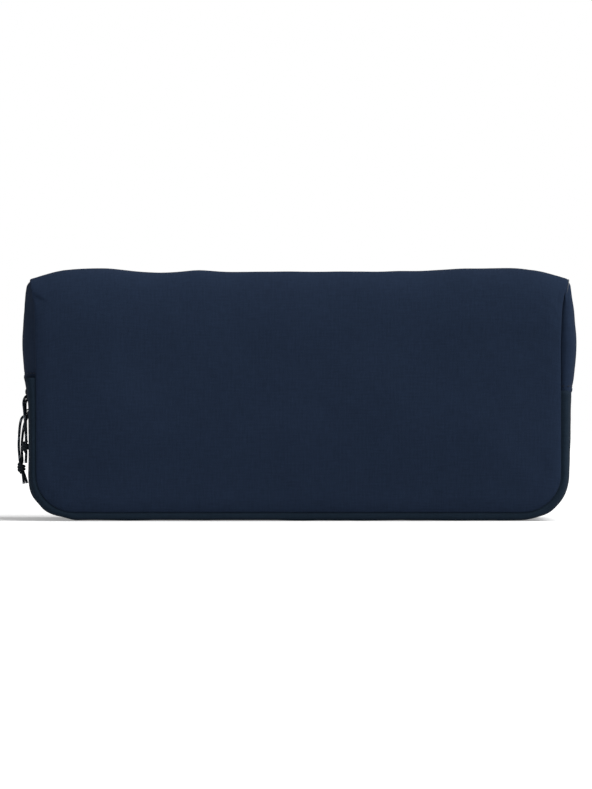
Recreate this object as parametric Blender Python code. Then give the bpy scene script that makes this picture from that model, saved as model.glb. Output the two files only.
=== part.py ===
"""A travel document organizer: a boxy zipped pouch that stands on its bottom edge.

The front faces -Y and the bottom rests on z = 0. One fabric shell runs over the
back, the top and the upper front. The lower front is a flap that folds out once
the zip, which runs down both sides and along the bottom, has been opened.
"""

import math

import bpy

MM = 0.001

# The pouch.
HEIGHT = 118.0
DEPTH = 60.0
PANEL_HALF_WIDTH = 124.0
PANEL_BOTTOM = 3.4
CORNER_RADIUS = 18.0
TOP_RADIUS = 8.0
WALL = 2.0
GAP = 0.3
ARC_STEPS = 8

# The zip ends part way up each side, and the flap bends at its own height.
ZIP_END_LEFT = 66.0
ZIP_END_RIGHT = 60.0
HINGE_Z = 62.0
RIGID_Z = 26.0

# Depths measured outwards from the edge of the panels.
BAND_OUT = PANEL_BOTTOM
STRIP_THICK = 1.6
TAPE_OUT = 0.8
TAPE_THICK = 0.6
COIL_OUT = 1.9
COIL_THICK = 0.9

# The upper gussets: how far they bulge past the panels' edges, and the shape of the
# bulge as (share of the half depth, share of the bulge). It shrinks towards the top.
BULGE_LEFT = 6.2
BULGE_RIGHT = 6.0
BULGE_SHAPE = ((0.0, 1.0), (0.62, 0.92), (0.84, 0.75), (0.93, 0.55), (0.985, 0.32), (1.0, 0.12))
BULGE_LOST_AT_TOP = 0.62
GUSSET_INNER_SHARE = 0.94

# Half widths across the zip, measured from its middle.
STRIP_EDGE = 5.2
TAPE_EDGE = 10.0
COIL_EDGE = 2.7
COIL_PARTING = 0.6

# The sliders, which ride the left run of the zip.
SLIDER_LENGTH = 9.4
SLIDER_PITCH = 9.9
SLIDER_TOP = 64.6
SLIDER_HALF_WIDTH = 3.6
SLIDER_PLATE = 0.7
BRIDGE_HALF_WIDTH = 0.7
BRIDGE_ROOM = 1.85
BRIDGE_FOOT = 1.1
BRIDGE_HIGH_FOOT_Z = 3.0
INNER_PLATE_HALF_WIDTH = 3.2
INNER_PLATE_SHORTER = 0.4
POST_HALF_WIDTH = 0.3
POST_LOW_Z = -1.5
LIP_THICK = 0.55
JOIN = 0.2

# The stops and tabs at the zip's ends.
STOP_HALF_WIDTH = 2.5
STOP_THICK = 1.0
STOP_LENGTH = 1.9
TAB_HALF_WIDTH = 8.0
TAB_THICK = 0.4
COIL_SHORTER = 0.8

# The binding tape over the inner seams.
BINDING_THICK = 1.6
BINDING_WIDTH = 1.9
BINDING_OFF_EDGE = 0.7

# The cords.
CORD_DIAMETER = 1.25

# The pockets inside: the slip pocket on the back wall, card pockets on it, and a
# mesh pocket on the flap.
POCKET_CLOTH = 0.6
SLIP_HALF_WIDTH = 112.0
SLIP_LOW = 9.0
SLIP_HIGH = 76.0
SLIP_RADIUS = 9.0
SLIP_EDGE_THICK = 1.4
SLIP_EDGE_WIDTH = 1.6
CARD_THICK = 0.5
CARD_LEFT = -104.0
CARD_RIGHT = -6.0
CARD_HEIGHTS = ((32.0, 70.0), (22.0, 57.0), (12.0, 44.0))
MESH_HALF_WIDTH = 108.0
MESH_LOW = 9.0
MESH_HIGH = 46.0
ELASTIC_THICK = 1.2
ELASTIC_HIGH = 52.0

# The elastic loop for a pen.
PEN_LOOP_X = 96.0
PEN_LOOP_LOW = 40.0
PEN_LOOP_HIGH = 62.0
PEN_LOOP_OUTER = 6.4
PEN_LOOP_INNER = 5.3
PEN_LOOP_SIDES = 16

HALF_DEPTH = DEPTH / 2
INNER_Y = HALF_DEPTH - WALL
LINING_Y = INNER_Y - GAP
LINING_THICK = 0.6
FLAP_ORIGIN = (0.0, -HALF_DEPTH, HINGE_Z)
SIDE_X = -PANEL_HALF_WIDTH
CHAIN_CLEAR = COIL_OUT + GAP
PLATE_OUT = CHAIN_CLEAR + SLIDER_PLATE
CORD_OUT = PLATE_OUT + BRIDGE_ROOM / 2
UPPER_SLIDER_Z = SLIDER_TOP - SLIDER_LENGTH / 2
LOWER_SLIDER_Z = UPPER_SLIDER_Z - SLIDER_PITCH
CORD_ABOVE_MIDDLE = 0.3

# Name: (colour, roughness, metallic).
FINISHES = {
    "fabric_navy": ((0.0133, 0.0212, 0.0409), 0.85, 0.0),
    "fabric_strip": ((0.0110, 0.0170, 0.0300), 0.85, 0.0),
    "lining_grey": ((0.0900, 0.1000, 0.1150), 0.80, 0.0),
    "zip_tape": ((0.0080, 0.0120, 0.0220), 0.90, 0.0),
    "zip_coil": ((0.0100, 0.0130, 0.0200), 0.45, 0.0),
    "slider_metal": ((0.0450, 0.0480, 0.0550), 0.35, 0.9),
    "cord_navy": ((0.0150, 0.0200, 0.0330), 0.75, 0.0),
    "mesh_grey": ((0.0350, 0.0400, 0.0500), 0.85, 0.0),
    "elastic_black": ((0.0120, 0.0120, 0.0140), 0.80, 0.0),
}


def clear_scene():
    for thing in list(bpy.data.objects):
        bpy.data.objects.remove(thing, do_unlink=True)


def make_materials():
    made = {}
    for name, (colour, roughness, metallic) in FINISHES.items():
        material = bpy.data.materials.new(name)
        material.use_nodes = True
        shader = material.node_tree.nodes["Principled BSDF"]
        shader.inputs["Base Color"].default_value = (*colour, 1.0)
        shader.inputs["Roughness"].default_value = roughness
        shader.inputs["Metallic"].default_value = metallic
        made[name] = material
    return made


def solid(name, points, faces, finish, origin=(0.0, 0.0, 0.0), smooth=False):
    """A closed mesh from points in millimetres, with its own origin."""
    local = []
    for point in points:
        local.append([(p - o) * MM for p, o in zip(point, origin)])
    mesh = bpy.data.meshes.new(name)
    mesh.from_pydata(local, [], faces)
    mesh.update()
    for face in mesh.polygons:
        face.use_smooth = smooth
    thing = bpy.data.objects.new(name, mesh)
    thing.location = [o * MM for o in origin]
    thing.data.materials.append(MATERIALS[finish].copy())
    thing.data.materials[0].name = name + "_finish"
    bpy.context.scene.collection.objects.link(thing)
    return thing


def outwards(points, faces):
    """The faces, turned round if they enclose a negative volume."""
    volume = 0.0
    for face in faces:
        a = points[face[0]]
        for i in range(1, len(face) - 1):
            b = points[face[i]]
            c = points[face[i + 1]]
            volume += a[0] * (b[1] * c[2] - b[2] * c[1])
            volume += a[1] * (b[2] * c[0] - b[0] * c[2])
            volume += a[2] * (b[0] * c[1] - b[1] * c[0])
    if volume < 0.0:
        return [tuple(reversed(face)) for face in faces]
    return faces


def loft(rings, wrapped=False):
    """Points and faces of a solid through rings that have equally many points.

    A wrapped one joins its last ring to its first. Any other is capped at both ends.
    """
    size = len(rings[0])
    count = len(rings)
    points = [point for ring in rings for point in ring]
    faces = []
    for k in range(count if wrapped else count - 1):
        after = (k + 1) % count
        for i in range(size):
            j = (i + 1) % size
            faces.append((k * size + i, k * size + j, after * size + j, after * size + i))
    if not wrapped:
        last = (len(rings) - 1) * size
        faces.append(tuple(reversed(range(size))))
        faces.append(tuple(range(last, last + size)))
    return points, outwards(points, faces)


def u_path(top_left, top_right, half_width=PANEL_HALF_WIDTH, bottom=PANEL_BOTTOM, radius=CORNER_RADIUS):
    """Stations (x, z, outward x, outward z) down the left, along the bottom, up the right."""
    centre_z = bottom + radius
    stations = [(-half_width, top_left, -1.0, 0.0)]
    for side, first in ((-1.0, 0.0), (1.0, math.pi / 2)):
        centre_x = side * (half_width - radius)
        for i in range(ARC_STEPS + 1):
            turn = math.pi / 2 * i / ARC_STEPS
            out_x = side * math.cos(turn - first)
            out_z = -abs(math.sin(turn - first))
            stations.append((centre_x + radius * out_x, centre_z + radius * out_z, out_x, out_z))
    stations.append((half_width, top_right, 1.0, 0.0))
    return stations


def side_path(sign, low, high):
    """Two stations up one side: the left one for sign -1, the right one for +1."""
    return [(sign * PANEL_HALF_WIDTH, low, sign, 0.0), (sign * PANEL_HALF_WIDTH, high, sign, 0.0)]


def swept(name, stations, section, finish, origin=(0.0, 0.0, 0.0)):
    """A section of (y, distance outwards) points, carried along the stations."""
    rings = []
    for x, z, out_x, out_z in stations:
        rings.append([(x + out_x * out, y, z + out_z * out) for y, out in section])
    points, faces = loft(rings)
    return solid(name, points, faces, finish, origin)


def mirrored(section):
    return [(-y, out) for y, out in section]


def rectangle(y0, y1, out0, out1):
    return [(y0, out0), (y1, out0), (y1, out1), (y0, out1)]


def strip_section():
    """The front gusset strip: rolled at the panel's seam and turned in at the zip."""
    inner = BAND_OUT - STRIP_THICK
    return [
        (-HALF_DEPTH, GAP),
        (-HALF_DEPTH, 0.9),
        (-HALF_DEPTH + 1.0, 2.0),
        (-HALF_DEPTH + 3.5, 3.0),
        (-HALF_DEPTH + 8.0, BAND_OUT),
        (-STRIP_EDGE - 1.8, BAND_OUT),
        (-STRIP_EDGE, BAND_OUT - 0.7),
        (-STRIP_EDGE, TAPE_OUT + GAP),
        (-STRIP_EDGE - 2.6, inner),
        (-HALF_DEPTH + 8.5, inner),
        (-HALF_DEPTH + 4.5, 1.4),
        (-HALF_DEPTH + 2.0, GAP),
    ]


def tape_section():
    return rectangle(-TAPE_EDGE, -1.0, TAPE_OUT - TAPE_THICK, TAPE_OUT)


def coil_section():
    low = COIL_OUT - COIL_THICK
    middle = (COIL_EDGE + COIL_PARTING) / 2
    return [
        (-COIL_EDGE, low + 0.25),
        (-middle - 0.6, low),
        (-middle + 0.6, low),
        (-COIL_PARTING, low + 0.25),
        (-COIL_PARTING, COIL_OUT - 0.25),
        (-middle + 0.6, COIL_OUT),
        (-middle - 0.6, COIL_OUT),
        (-COIL_EDGE, COIL_OUT - 0.25),
    ]


def binding_section(y0, y1):
    return rectangle(y0, y1, -BINDING_OFF_EDGE - BINDING_WIDTH, -BINDING_OFF_EDGE)


def half_width_at(z, inset=0.0):
    """Half the panel's width at a height, less an inset: its lower corners are round."""
    centre = PANEL_BOTTOM + CORNER_RADIUS
    radius = CORNER_RADIUS - inset
    if z >= centre:
        return PANEL_HALF_WIDTH - inset
    drop = min(centre - z, radius)
    return PANEL_HALF_WIDTH - CORNER_RADIUS + math.sqrt(radius * radius - drop * drop)


def corner_heights(inset=0.0):
    """Heights from the panel's lowest edge up to the end of its round corners."""
    centre = PANEL_BOTTOM + CORNER_RADIUS
    radius = CORNER_RADIUS - inset
    return [centre - radius * math.cos(math.pi / 2 * i / ARC_STEPS) for i in range(ARC_STEPS + 1)]


def ribbon(name, outer, inner, widths, finish, origin=(0.0, 0.0, 0.0)):
    """A sheet across the width. outer and inner hold (y, z) pairs along its two sides."""
    rings = []
    for (y0, z0), (y1, z1), wide in zip(outer, inner, widths):
        rings.append([(-wide, y0, z0), (wide, y0, z0), (wide, y1, z1), (-wide, y1, z1)])
    points, faces = loft(rings)
    return solid(name, points, faces, finish, origin)


def wrap_profile(inset, front_end, low_inset):
    """(y, z, half width) from the lowest edge of the back, over the top, to the upper front."""
    y = HALF_DEPTH - inset
    radius = TOP_RADIUS - inset
    centre_z = HEIGHT - TOP_RADIUS
    profile = [(y, z, half_width_at(z, low_inset)) for z in corner_heights(low_inset)]
    wide = PANEL_HALF_WIDTH - low_inset
    for i in range(ARC_STEPS + 1):
        turn = math.pi / 2 * i / ARC_STEPS
        across = HALF_DEPTH - TOP_RADIUS + radius * math.cos(turn)
        profile.append((across, centre_z + radius * math.sin(turn), wide))
    for i in range(ARC_STEPS + 1):
        turn = math.pi / 2 * i / ARC_STEPS
        across = HALF_DEPTH - TOP_RADIUS + radius * math.sin(turn)
        profile.append((-across, centre_z + radius * math.cos(turn), wide))
    profile.append((-y, front_end, wide))
    return profile


def wrap(name, inset, thick, low_inset, finish):
    outer = wrap_profile(inset, HINGE_Z + GAP / 2, low_inset)
    inner = wrap_profile(inset + thick, HINGE_Z + GAP / 2, low_inset)
    widths = [wide for _, _, wide in outer]
    return ribbon(name, [(y, z) for y, z, _ in outer], [(y, z) for y, z, _ in inner], widths, finish)


def upright(name, y0, y1, low_inset, top, finish, origin=(0.0, 0.0, 0.0)):
    """A flat panel with the pouch's round lower corners."""
    heights = corner_heights(low_inset) + [top]
    widths = [half_width_at(z, low_inset) for z in heights]
    return ribbon(name, [(y0, z) for z in heights], [(y1, z) for z in heights], widths, finish, origin)


def box(name, low, high, finish, origin=(0.0, 0.0, 0.0)):
    bottom = [(low[0], low[1]), (high[0], low[1]), (high[0], high[1]), (low[0], high[1])]
    rings = [[(x, y, z) for x, y in bottom] for z in (low[2], high[2])]
    points, faces = loft(rings)
    return solid(name, points, faces, finish, origin)


def gusset(name, sign, low, finish):
    """The upper side panel: it bulges outwards and closes in under the rounded top."""
    full = BULGE_LEFT if sign < 0 else BULGE_RIGHT
    shape = [(-a, b) for a, b in reversed(BULGE_SHAPE[1:])] + list(BULGE_SHAPE)
    flat_top = HEIGHT - TOP_RADIUS
    last_rise = TOP_RADIUS - GAP
    heights = [low, (low + flat_top) / 2]
    heights += [flat_top + last_rise * math.sin(math.pi / 2 * i / ARC_STEPS) for i in range(ARC_STEPS + 1)]
    rings = []
    for z in heights:
        rise = max(0.0, z - flat_top)
        half = HALF_DEPTH - TOP_RADIUS + math.sqrt(TOP_RADIUS**2 - rise**2)
        share = 1.0 - BULGE_LOST_AT_TOP * (rise / TOP_RADIUS) ** 2
        outer = [(half * a, full * b * share) for a, b in shape]
        inner = [(half * a * GUSSET_INNER_SHARE, max(GAP, full * b * share - STRIP_THICK)) for a, b in shape]
        section = outer + list(reversed(inner))
        rings.append([(sign * (PANEL_HALF_WIDTH + out), y, z) for y, out in section])
    points, faces = loft(rings)
    return solid(name, points, faces, finish)


def joined(target, parts):
    """Adds the parts to the target, which stays one closed body."""
    for part in parts:
        part.hide_render = True
        part.display_type = "WIRE"
        union = target.modifiers.new("join_" + part.name, "BOOLEAN")
        union.operation = "UNION"
        union.solver = "EXACT"
        union.object = part
    return target


def side_box(name, middle, y_half, out0, out1, low, high, y=0.0):
    """A metal box on the left side, by distance outwards, about a slider's own middle."""
    corner = (SIDE_X - out1, y - y_half, middle + low)
    other = (SIDE_X - out0, y + y_half, middle + high)
    return box(name, corner, other, "slider_metal", (SIDE_X, 0.0, middle))


def slider(name, middle):
    """Two plates about the coils, a post between them, lips and a bridge for the cord."""
    half = SLIDER_LENGTH / 2
    inner_out = TAPE_OUT - TAPE_THICK - GAP
    inner_half = half - INNER_PLATE_SHORTER
    room_top = PLATE_OUT + BRIDGE_ROOM
    bridge_top = room_top + SLIDER_PLATE
    foot_top = CORD_ABOVE_MIDDLE - GAP - CORD_DIAMETER / 2
    foot_low = foot_top - BRIDGE_FOOT
    high_foot_low = BRIDGE_HIGH_FOOT_Z
    high_foot_top = high_foot_low + BRIDGE_FOOT
    pieces = {
        "_inner": (INNER_PLATE_HALF_WIDTH, inner_out - SLIDER_PLATE, inner_out, -inner_half, inner_half),
        "_post": (POST_HALF_WIDTH, inner_out - JOIN, CHAIN_CLEAR + JOIN, POST_LOW_Z, inner_half - 0.5),
        "_foot_low": (BRIDGE_HALF_WIDTH, PLATE_OUT - JOIN, room_top + JOIN, foot_low, foot_top),
        "_foot_high": (BRIDGE_HALF_WIDTH, PLATE_OUT - JOIN, room_top + JOIN, high_foot_low, high_foot_top),
        "_bar": (BRIDGE_HALF_WIDTH + 0.05, room_top, bridge_top, foot_low - JOIN, high_foot_top + JOIN),
    }
    body = side_box(name, middle, SLIDER_HALF_WIDTH, CHAIN_CLEAR, PLATE_OUT, -half, half)
    parts = []
    for label, (y_half, out0, out1, low, high) in pieces.items():
        parts.append(side_box(name + label, middle, y_half, out0, out1, low, high))
    lip_y = SLIDER_HALF_WIDTH - 0.05 - LIP_THICK / 2
    for label, side in (("_lip_front", -1.0), ("_lip_rear", 1.0)):
        lip = side_box(
            name + label, middle, LIP_THICK / 2, TAPE_OUT + GAP, CHAIN_CLEAR + JOIN,
            -half + 0.1, half - 0.1, side * lip_y,
        )
        parts.append(lip)
    return joined(body, parts)


def smooth_line(points, step):
    """Points about a step apart along a Catmull-Rom curve through the given ones."""
    line = []
    last = len(points) - 1
    for k in range(last):
        a, b, c, d = points[max(k - 1, 0)], points[k], points[k + 1], points[min(k + 2, last)]
        pieces = max(1, round(math.dist(b, c) / step))
        for i in range(pieces):
            t = i / pieces
            place = []
            for p, q, r, u in zip(a, b, c, d):
                slope = (r - p) * t
                bend = (2 * p - 5 * q + 4 * r - u) * t**2
                twist = (3 * q - p - 3 * r + u) * t**3
                place.append((2 * q + slope + bend + twist) / 2)
            line.append(place)
    line.append(list(points[-1]))
    return line


def cord_loop(name, middle, front_strand, rear_strand):
    """One cord: up the front strand, through the slider's bridge and down the rear strand."""
    top = middle + CORD_ABOVE_MIDDLE
    x = SIDE_X - CORD_OUT
    side = BRIDGE_HALF_WIDTH + GAP + CORD_DIAMETER / 2
    through = [
        (x - 0.05, -side, top - 1.5),
        (x, -side + 0.05, top - 0.6),
        (x, -0.75 * side, top + 0.02),
        (x, -0.3 * side, top + 0.2),
        (x, 0.3 * side, top + 0.2),
        (x, 0.75 * side, top + 0.02),
        (x, side - 0.05, top - 0.6),
        (x - 0.05, side, top - 1.5),
    ]
    route = list(reversed(front_strand)) + through + rear_strand
    line = smooth_line(route, 2.6)
    origin = (x, 0.0, top)
    curve = bpy.data.curves.new(name, "CURVE")
    curve.dimensions = "3D"
    curve.bevel_depth = CORD_DIAMETER / 2 * MM
    curve.bevel_resolution = 2
    curve.use_fill_caps = True
    spline = curve.splines.new("POLY")
    spline.points.add(len(line) - 1)
    for point, place in zip(spline.points, line):
        point.co = (*[(p - o) * MM for p, o in zip(place, origin)], 1.0)
    thing = bpy.data.objects.new(name, curve)
    thing.location = [o * MM for o in origin]
    curve.materials.append(MATERIALS["cord_navy"].copy())
    curve.materials[0].name = name + "_finish"
    bpy.context.scene.collection.objects.link(thing)
    return thing


def ball(name, centre, radii, origin, finish, rows=8, columns=12):
    rings = []
    for i in range(1, rows):
        turn = math.pi * i / rows
        rings.append([
            (
                centre[0] + radii[0] * math.sin(turn) * math.cos(2 * math.pi * j / columns),
                centre[1] + radii[1] * math.sin(turn) * math.sin(2 * math.pi * j / columns),
                centre[2] - radii[2] * math.cos(turn),
            )
            for j in range(columns)
        ])
    points, faces = loft(rings)
    return solid(name, points, faces, finish, origin, smooth=True)


def rod(name, start, end, radius, origin, finish, sides=10):
    """A straight round rod that stands more or less upright."""
    rings = []
    for x, y, z in (start, end):
        rings.append([
            (
                x + radius * math.cos(2 * math.pi * j / sides),
                y + radius * math.sin(2 * math.pi * j / sides),
                z,
            )
            for j in range(sides)
        ])
    points, faces = loft(rings)
    return solid(name, points, faces, finish, origin, smooth=True)


def knot(name, centre, radii, tail_ends, middle):
    """The overhand knot that closes a cord loop, with its two short tails."""
    origin = (SIDE_X - CORD_OUT, 0.0, middle + CORD_ABOVE_MIDDLE)
    body = ball(name, centre, radii, origin, "cord_navy")
    tails = []
    for label, end in zip(("front", "rear"), tail_ends):
        start = (centre[0], centre[1] + (end[1] - centre[1]) * 0.4, centre[2] - radii[2] * 0.35)
        tails.append(rod(name + "_tail_" + label, start, end, CORD_DIAMETER / 2, origin, "cord_navy"))
    return joined(body, tails)


def build_case():
    wrap("outer_shell", 0.0, WALL, 0.0, "fabric_navy")
    wrap("lining_shell", WALL + GAP, LINING_THICK, 2 * GAP, "lining_grey")
    gusset("upper_gusset_left", -1.0, ZIP_END_LEFT + GAP, "fabric_navy")
    gusset("upper_gusset_right", 1.0, ZIP_END_RIGHT + GAP, "fabric_navy")
    whole = u_path(ZIP_END_LEFT, ZIP_END_RIGHT)
    swept("zip_strip_rear", whole, mirrored(strip_section()), "fabric_strip")
    swept("zip_tape_rear", whole, mirrored(tape_section()), "zip_tape")
    coil = u_path(ZIP_END_LEFT - COIL_SHORTER, ZIP_END_RIGHT - COIL_SHORTER)
    swept("zip_coil_rear", coil, mirrored(coil_section()), "zip_coil")
    stop = rectangle(-STOP_HALF_WIDTH, STOP_HALF_WIDTH, COIL_OUT + GAP - STOP_THICK, COIL_OUT + GAP)
    tab = rectangle(-TAB_HALF_WIDTH, TAB_HALF_WIDTH, BAND_OUT + GAP, BAND_OUT + GAP + TAB_THICK)
    for label, sign, end, shown in (("left", -1.0, ZIP_END_LEFT, 0.6), ("right", 1.0, ZIP_END_RIGHT, 2.7)):
        stop_low = end - COIL_SHORTER + GAP
        swept("zip_stop_" + label, side_path(sign, stop_low, stop_low + STOP_LENGTH), stop, "slider_metal")
        swept("zip_end_tab_" + label, side_path(sign, end - shown, end + 2.5), tab, "fabric_strip")
    face = LINING_Y - LINING_THICK - GAP
    binding = binding_section(face - BINDING_THICK, face)
    swept("seam_binding_rear", whole, binding, "elastic_black")


def build_pockets():
    """The organizer inside, on the back wall."""
    back = LINING_Y - LINING_THICK - GAP
    edge_path = u_path(SLIP_HIGH - 2.0, SLIP_HIGH - 2.0, SLIP_HALF_WIDTH, SLIP_LOW, SLIP_RADIUS)
    edge = rectangle(back - SLIP_EDGE_THICK, back, -SLIP_EDGE_WIDTH, 0.0)
    swept("slip_pocket_edge", edge_path, edge, "elastic_black")
    front = back - SLIP_EDGE_THICK - GAP
    low = SLIP_LOW + GAP
    heights = [low, low + SLIP_RADIUS, SLIP_HIGH]
    widths = [SLIP_HALF_WIDTH - SLIP_RADIUS, SLIP_HALF_WIDTH - GAP, SLIP_HALF_WIDTH - GAP]
    outer = [(front, z) for z in heights]
    inner = [(front - POCKET_CLOTH, z) for z in heights]
    ribbon("slip_pocket", outer, inner, widths, "lining_grey")
    front -= POCKET_CLOTH
    y = front
    for number, (low, top) in enumerate(CARD_HEIGHTS, start=1):
        y -= GAP
        box("card_pocket_%d" % number, (CARD_LEFT, y - CARD_THICK, low), (CARD_RIGHT, y, top), "lining_grey")
        y -= CARD_THICK
    build_pen_loop(front - GAP - PEN_LOOP_OUTER)


def build_pen_loop(y):
    """An elastic ring about an upright axis."""
    corners = (
        (PEN_LOOP_OUTER, PEN_LOOP_LOW),
        (PEN_LOOP_OUTER, PEN_LOOP_HIGH),
        (PEN_LOOP_INNER, PEN_LOOP_HIGH),
        (PEN_LOOP_INNER, PEN_LOOP_LOW),
    )
    rings = []
    for i in range(PEN_LOOP_SIDES):
        turn = 2 * math.pi * i / PEN_LOOP_SIDES
        rings.append([(PEN_LOOP_X + r * math.cos(turn), y + r * math.sin(turn), z) for r, z in corners])
    points, faces = loft(rings, wrapped=True)
    solid("pen_loop", points, faces, "elastic_black", (PEN_LOOP_X, y, PEN_LOOP_LOW))


def build_flap():
    """The lower front: it turns about the line where it folds out of the shell."""
    top = HINGE_Z - GAP / 2
    upright("front_panel_lower", -INNER_Y, -HALF_DEPTH, 0.0, top, "fabric_navy", FLAP_ORIGIN)
    inner_face = -LINING_Y + LINING_THICK
    upright("lining_front", inner_face, -LINING_Y, 2 * GAP, top - 0.4, "lining_grey", FLAP_ORIGIN)
    low = u_path(RIGID_Z, RIGID_Z)
    swept("zip_strip_front", low, strip_section(), "fabric_strip", FLAP_ORIGIN)
    swept("zip_tape_front", low, tape_section(), "zip_tape", FLAP_ORIGIN)
    swept("zip_coil_front", low, coil_section(), "zip_coil", FLAP_ORIGIN)
    for label, sign, end in (("left", -1.0, ZIP_END_LEFT), ("right", 1.0, ZIP_END_RIGHT)):
        run = side_path(sign, RIGID_Z + GAP / 2, end)
        coil_run = side_path(sign, RIGID_Z + GAP / 2, end - COIL_SHORTER)
        swept("zip_strip_front_" + label, run, strip_section(), "fabric_strip", FLAP_ORIGIN)
        swept("zip_tape_front_" + label, run, tape_section(), "zip_tape", FLAP_ORIGIN)
        swept("zip_coil_front_" + label, coil_run, coil_section(), "zip_coil", FLAP_ORIGIN)
    face = inner_face + GAP
    binding = binding_section(face, face + BINDING_THICK)
    swept("seam_binding_front", u_path(top - 0.6, top - 0.6), binding, "elastic_black", FLAP_ORIGIN)
    mesh_back = face + POCKET_CLOTH
    box(
        "mesh_pocket",
        (-MESH_HALF_WIDTH, face, MESH_LOW),
        (MESH_HALF_WIDTH, mesh_back, MESH_HIGH),
        "mesh_grey",
        FLAP_ORIGIN,
    )
    box(
        "mesh_pocket_elastic",
        (-MESH_HALF_WIDTH, face, MESH_HIGH + GAP),
        (MESH_HALF_WIDTH, face + ELASTIC_THICK, ELASTIC_HIGH),
        "elastic_black",
        FLAP_ORIGIN,
    )


def build_pulls():
    """The two sliders with their cord loops, knots and tails."""
    slider("slider_upper", UPPER_SLIDER_Z)
    slider("slider_lower", LOWER_SLIDER_Z)
    upper_front = [
        (-129.2, -2.8, 57.4),
        (-129.8, -4.7, 55.0),
        (-129.4, -5.2, 51.0),
        (-128.8, -5.2, 43.0),
        (-128.6, -5.1, 37.3),
    ]
    upper_rear = [
        (-128.1, 1.5, 57.6),
        (-128.4, 1.2, 56.5),
        (-128.7, -0.4, 55.9),
        (-128.9, -2.2, 55.2),
        (-129.0, -3.5, 53.2),
        (-128.8, -3.5, 45.0),
        (-128.6, -3.5, 37.3),
    ]
    cord_loop("pull_cord_upper", UPPER_SLIDER_Z, upper_front, upper_rear)
    knot(
        "pull_knot_upper",
        (-128.7, -4.3, 34.3),
        (1.8, 1.5, 2.4),
        [(-128.7, -5.0, 26.6), (-128.8, -3.6, 27.4)],
        UPPER_SLIDER_Z,
    )
    lower_front = [
        (-130.4, -1.5, 48.2),
        (-131.5, -1.4, 45.5),
        (-132.1, -1.1, 40.0),
        (-132.3, -0.9, 34.0),
        (-131.8, -0.8, 27.3),
    ]
    lower_rear = [
        (-128.9, 1.5, 47.2),
        (-130.1, 1.4, 43.5),
        (-130.8, 1.0, 38.0),
        (-131.0, 0.9, 33.0),
        (-130.7, 0.8, 27.3),
    ]
    cord_loop("pull_cord_lower", LOWER_SLIDER_Z, lower_front, lower_rear)
    knot(
        "pull_knot_lower",
        (-131.1, 0.0, 24.4),
        (1.95, 1.9, 2.4),
        [(-129.9, -0.8, 16.8), (-128.5, 0.8, 17.0)],
        LOWER_SLIDER_Z,
    )


clear_scene()
MATERIALS = make_materials()
build_case()
build_pockets()
build_flap()
build_pulls()
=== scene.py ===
"""The looks of a travel document organizer: a zipped pouch in navy woven cloth.

Lengths are in millimetres until a mesh is made. The front faces -Y.
"""

import math

import bpy
import numpy as np
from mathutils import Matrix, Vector, noise


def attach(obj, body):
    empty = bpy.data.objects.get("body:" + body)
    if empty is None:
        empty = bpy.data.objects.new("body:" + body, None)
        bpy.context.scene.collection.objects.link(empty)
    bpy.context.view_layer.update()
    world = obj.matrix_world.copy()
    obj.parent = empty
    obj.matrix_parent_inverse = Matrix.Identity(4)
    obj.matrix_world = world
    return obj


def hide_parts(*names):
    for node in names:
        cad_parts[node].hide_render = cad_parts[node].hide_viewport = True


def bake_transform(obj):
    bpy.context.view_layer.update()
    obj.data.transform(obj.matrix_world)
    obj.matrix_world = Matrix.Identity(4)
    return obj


MM = 0.001
TAU = 2.0 * math.pi

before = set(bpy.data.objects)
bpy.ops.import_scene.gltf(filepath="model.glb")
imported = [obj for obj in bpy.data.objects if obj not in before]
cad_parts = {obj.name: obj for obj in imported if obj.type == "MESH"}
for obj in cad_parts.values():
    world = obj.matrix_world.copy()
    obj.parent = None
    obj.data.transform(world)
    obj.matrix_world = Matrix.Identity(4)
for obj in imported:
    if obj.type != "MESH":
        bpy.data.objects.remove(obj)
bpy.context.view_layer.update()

# The camera looks straight at the front.
CAMERA_PLACE = (-0.0016, -1.861, 0.0588)
CAMERA_LENS = 180.0
CAMERA_SENSOR = 36.0

# One broad key light from above and the right, and a low even light all round.
KEY_FROM = (0.54, -0.22, 0.82)
KEY_STRENGTH = 3.8
KEY_SPREAD = 50.0
AMBIENT = 0.23
FLOOR_TONE = 0.75
FLOOR_GLOW = 0.32

# The pouch, as in the CAD.
HALF_DEPTH = 30.0
HALF_WIDTH = 124.0
BOTTOM = 3.4
CORNER_RADIUS = 18.0
ZIP_END = {-1: 66.0, 1: 60.0}

# The panels' seams: (height, half width) on the left and on the right.
SEAM_BOTTOM = 4.0
SEAM_TABLES = {
    -1: ((0, 122.4), (60, 122.5), (81, 122.8), (103, 123.5), (110, 124.7), (114, 126.0), (120, 126.0)),
    1: ((0, 121.6), (60, 121.5), (84, 121.4), (101, 122.1), (110, 123.6), (114, 125.6), (120, 125.7)),
}
# The top's height across the width.
CROWN_TABLE = (
    (-126, 112.5), (-120, 114.6), (-111, 117.0), (-103, 117.4), (-90, 117.4), (-75, 115.8), (-66, 115.4),
    (-56, 115.9), (-48, 117.0), (-37, 116.2), (-23, 115.9), (38, 116.0), (47, 116.6), (58, 116.5),
    (76, 117.5), (85, 117.3), (103, 117.7), (112, 116.9), (120, 114.6), (126, 112.4),
)
# The upper gussets' outline seen from the front: (height, distance from the middle).
GUSSET_TABLES = {
    -1: ((60, 128.4), (66, 128.8), (82, 130.1), (94.5, 129.45), (103, 128.8), (108, 128.4), (112, 128.15),
         (116, 127.7)),
    1: ((56, 126.7), (60, 126.9), (66, 128.3), (82, 129.6), (98, 128.7), (102.5, 128.0), (106, 127.2),
        (110, 126.9), (113, 126.8), (116, 126.6)),
}
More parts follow.
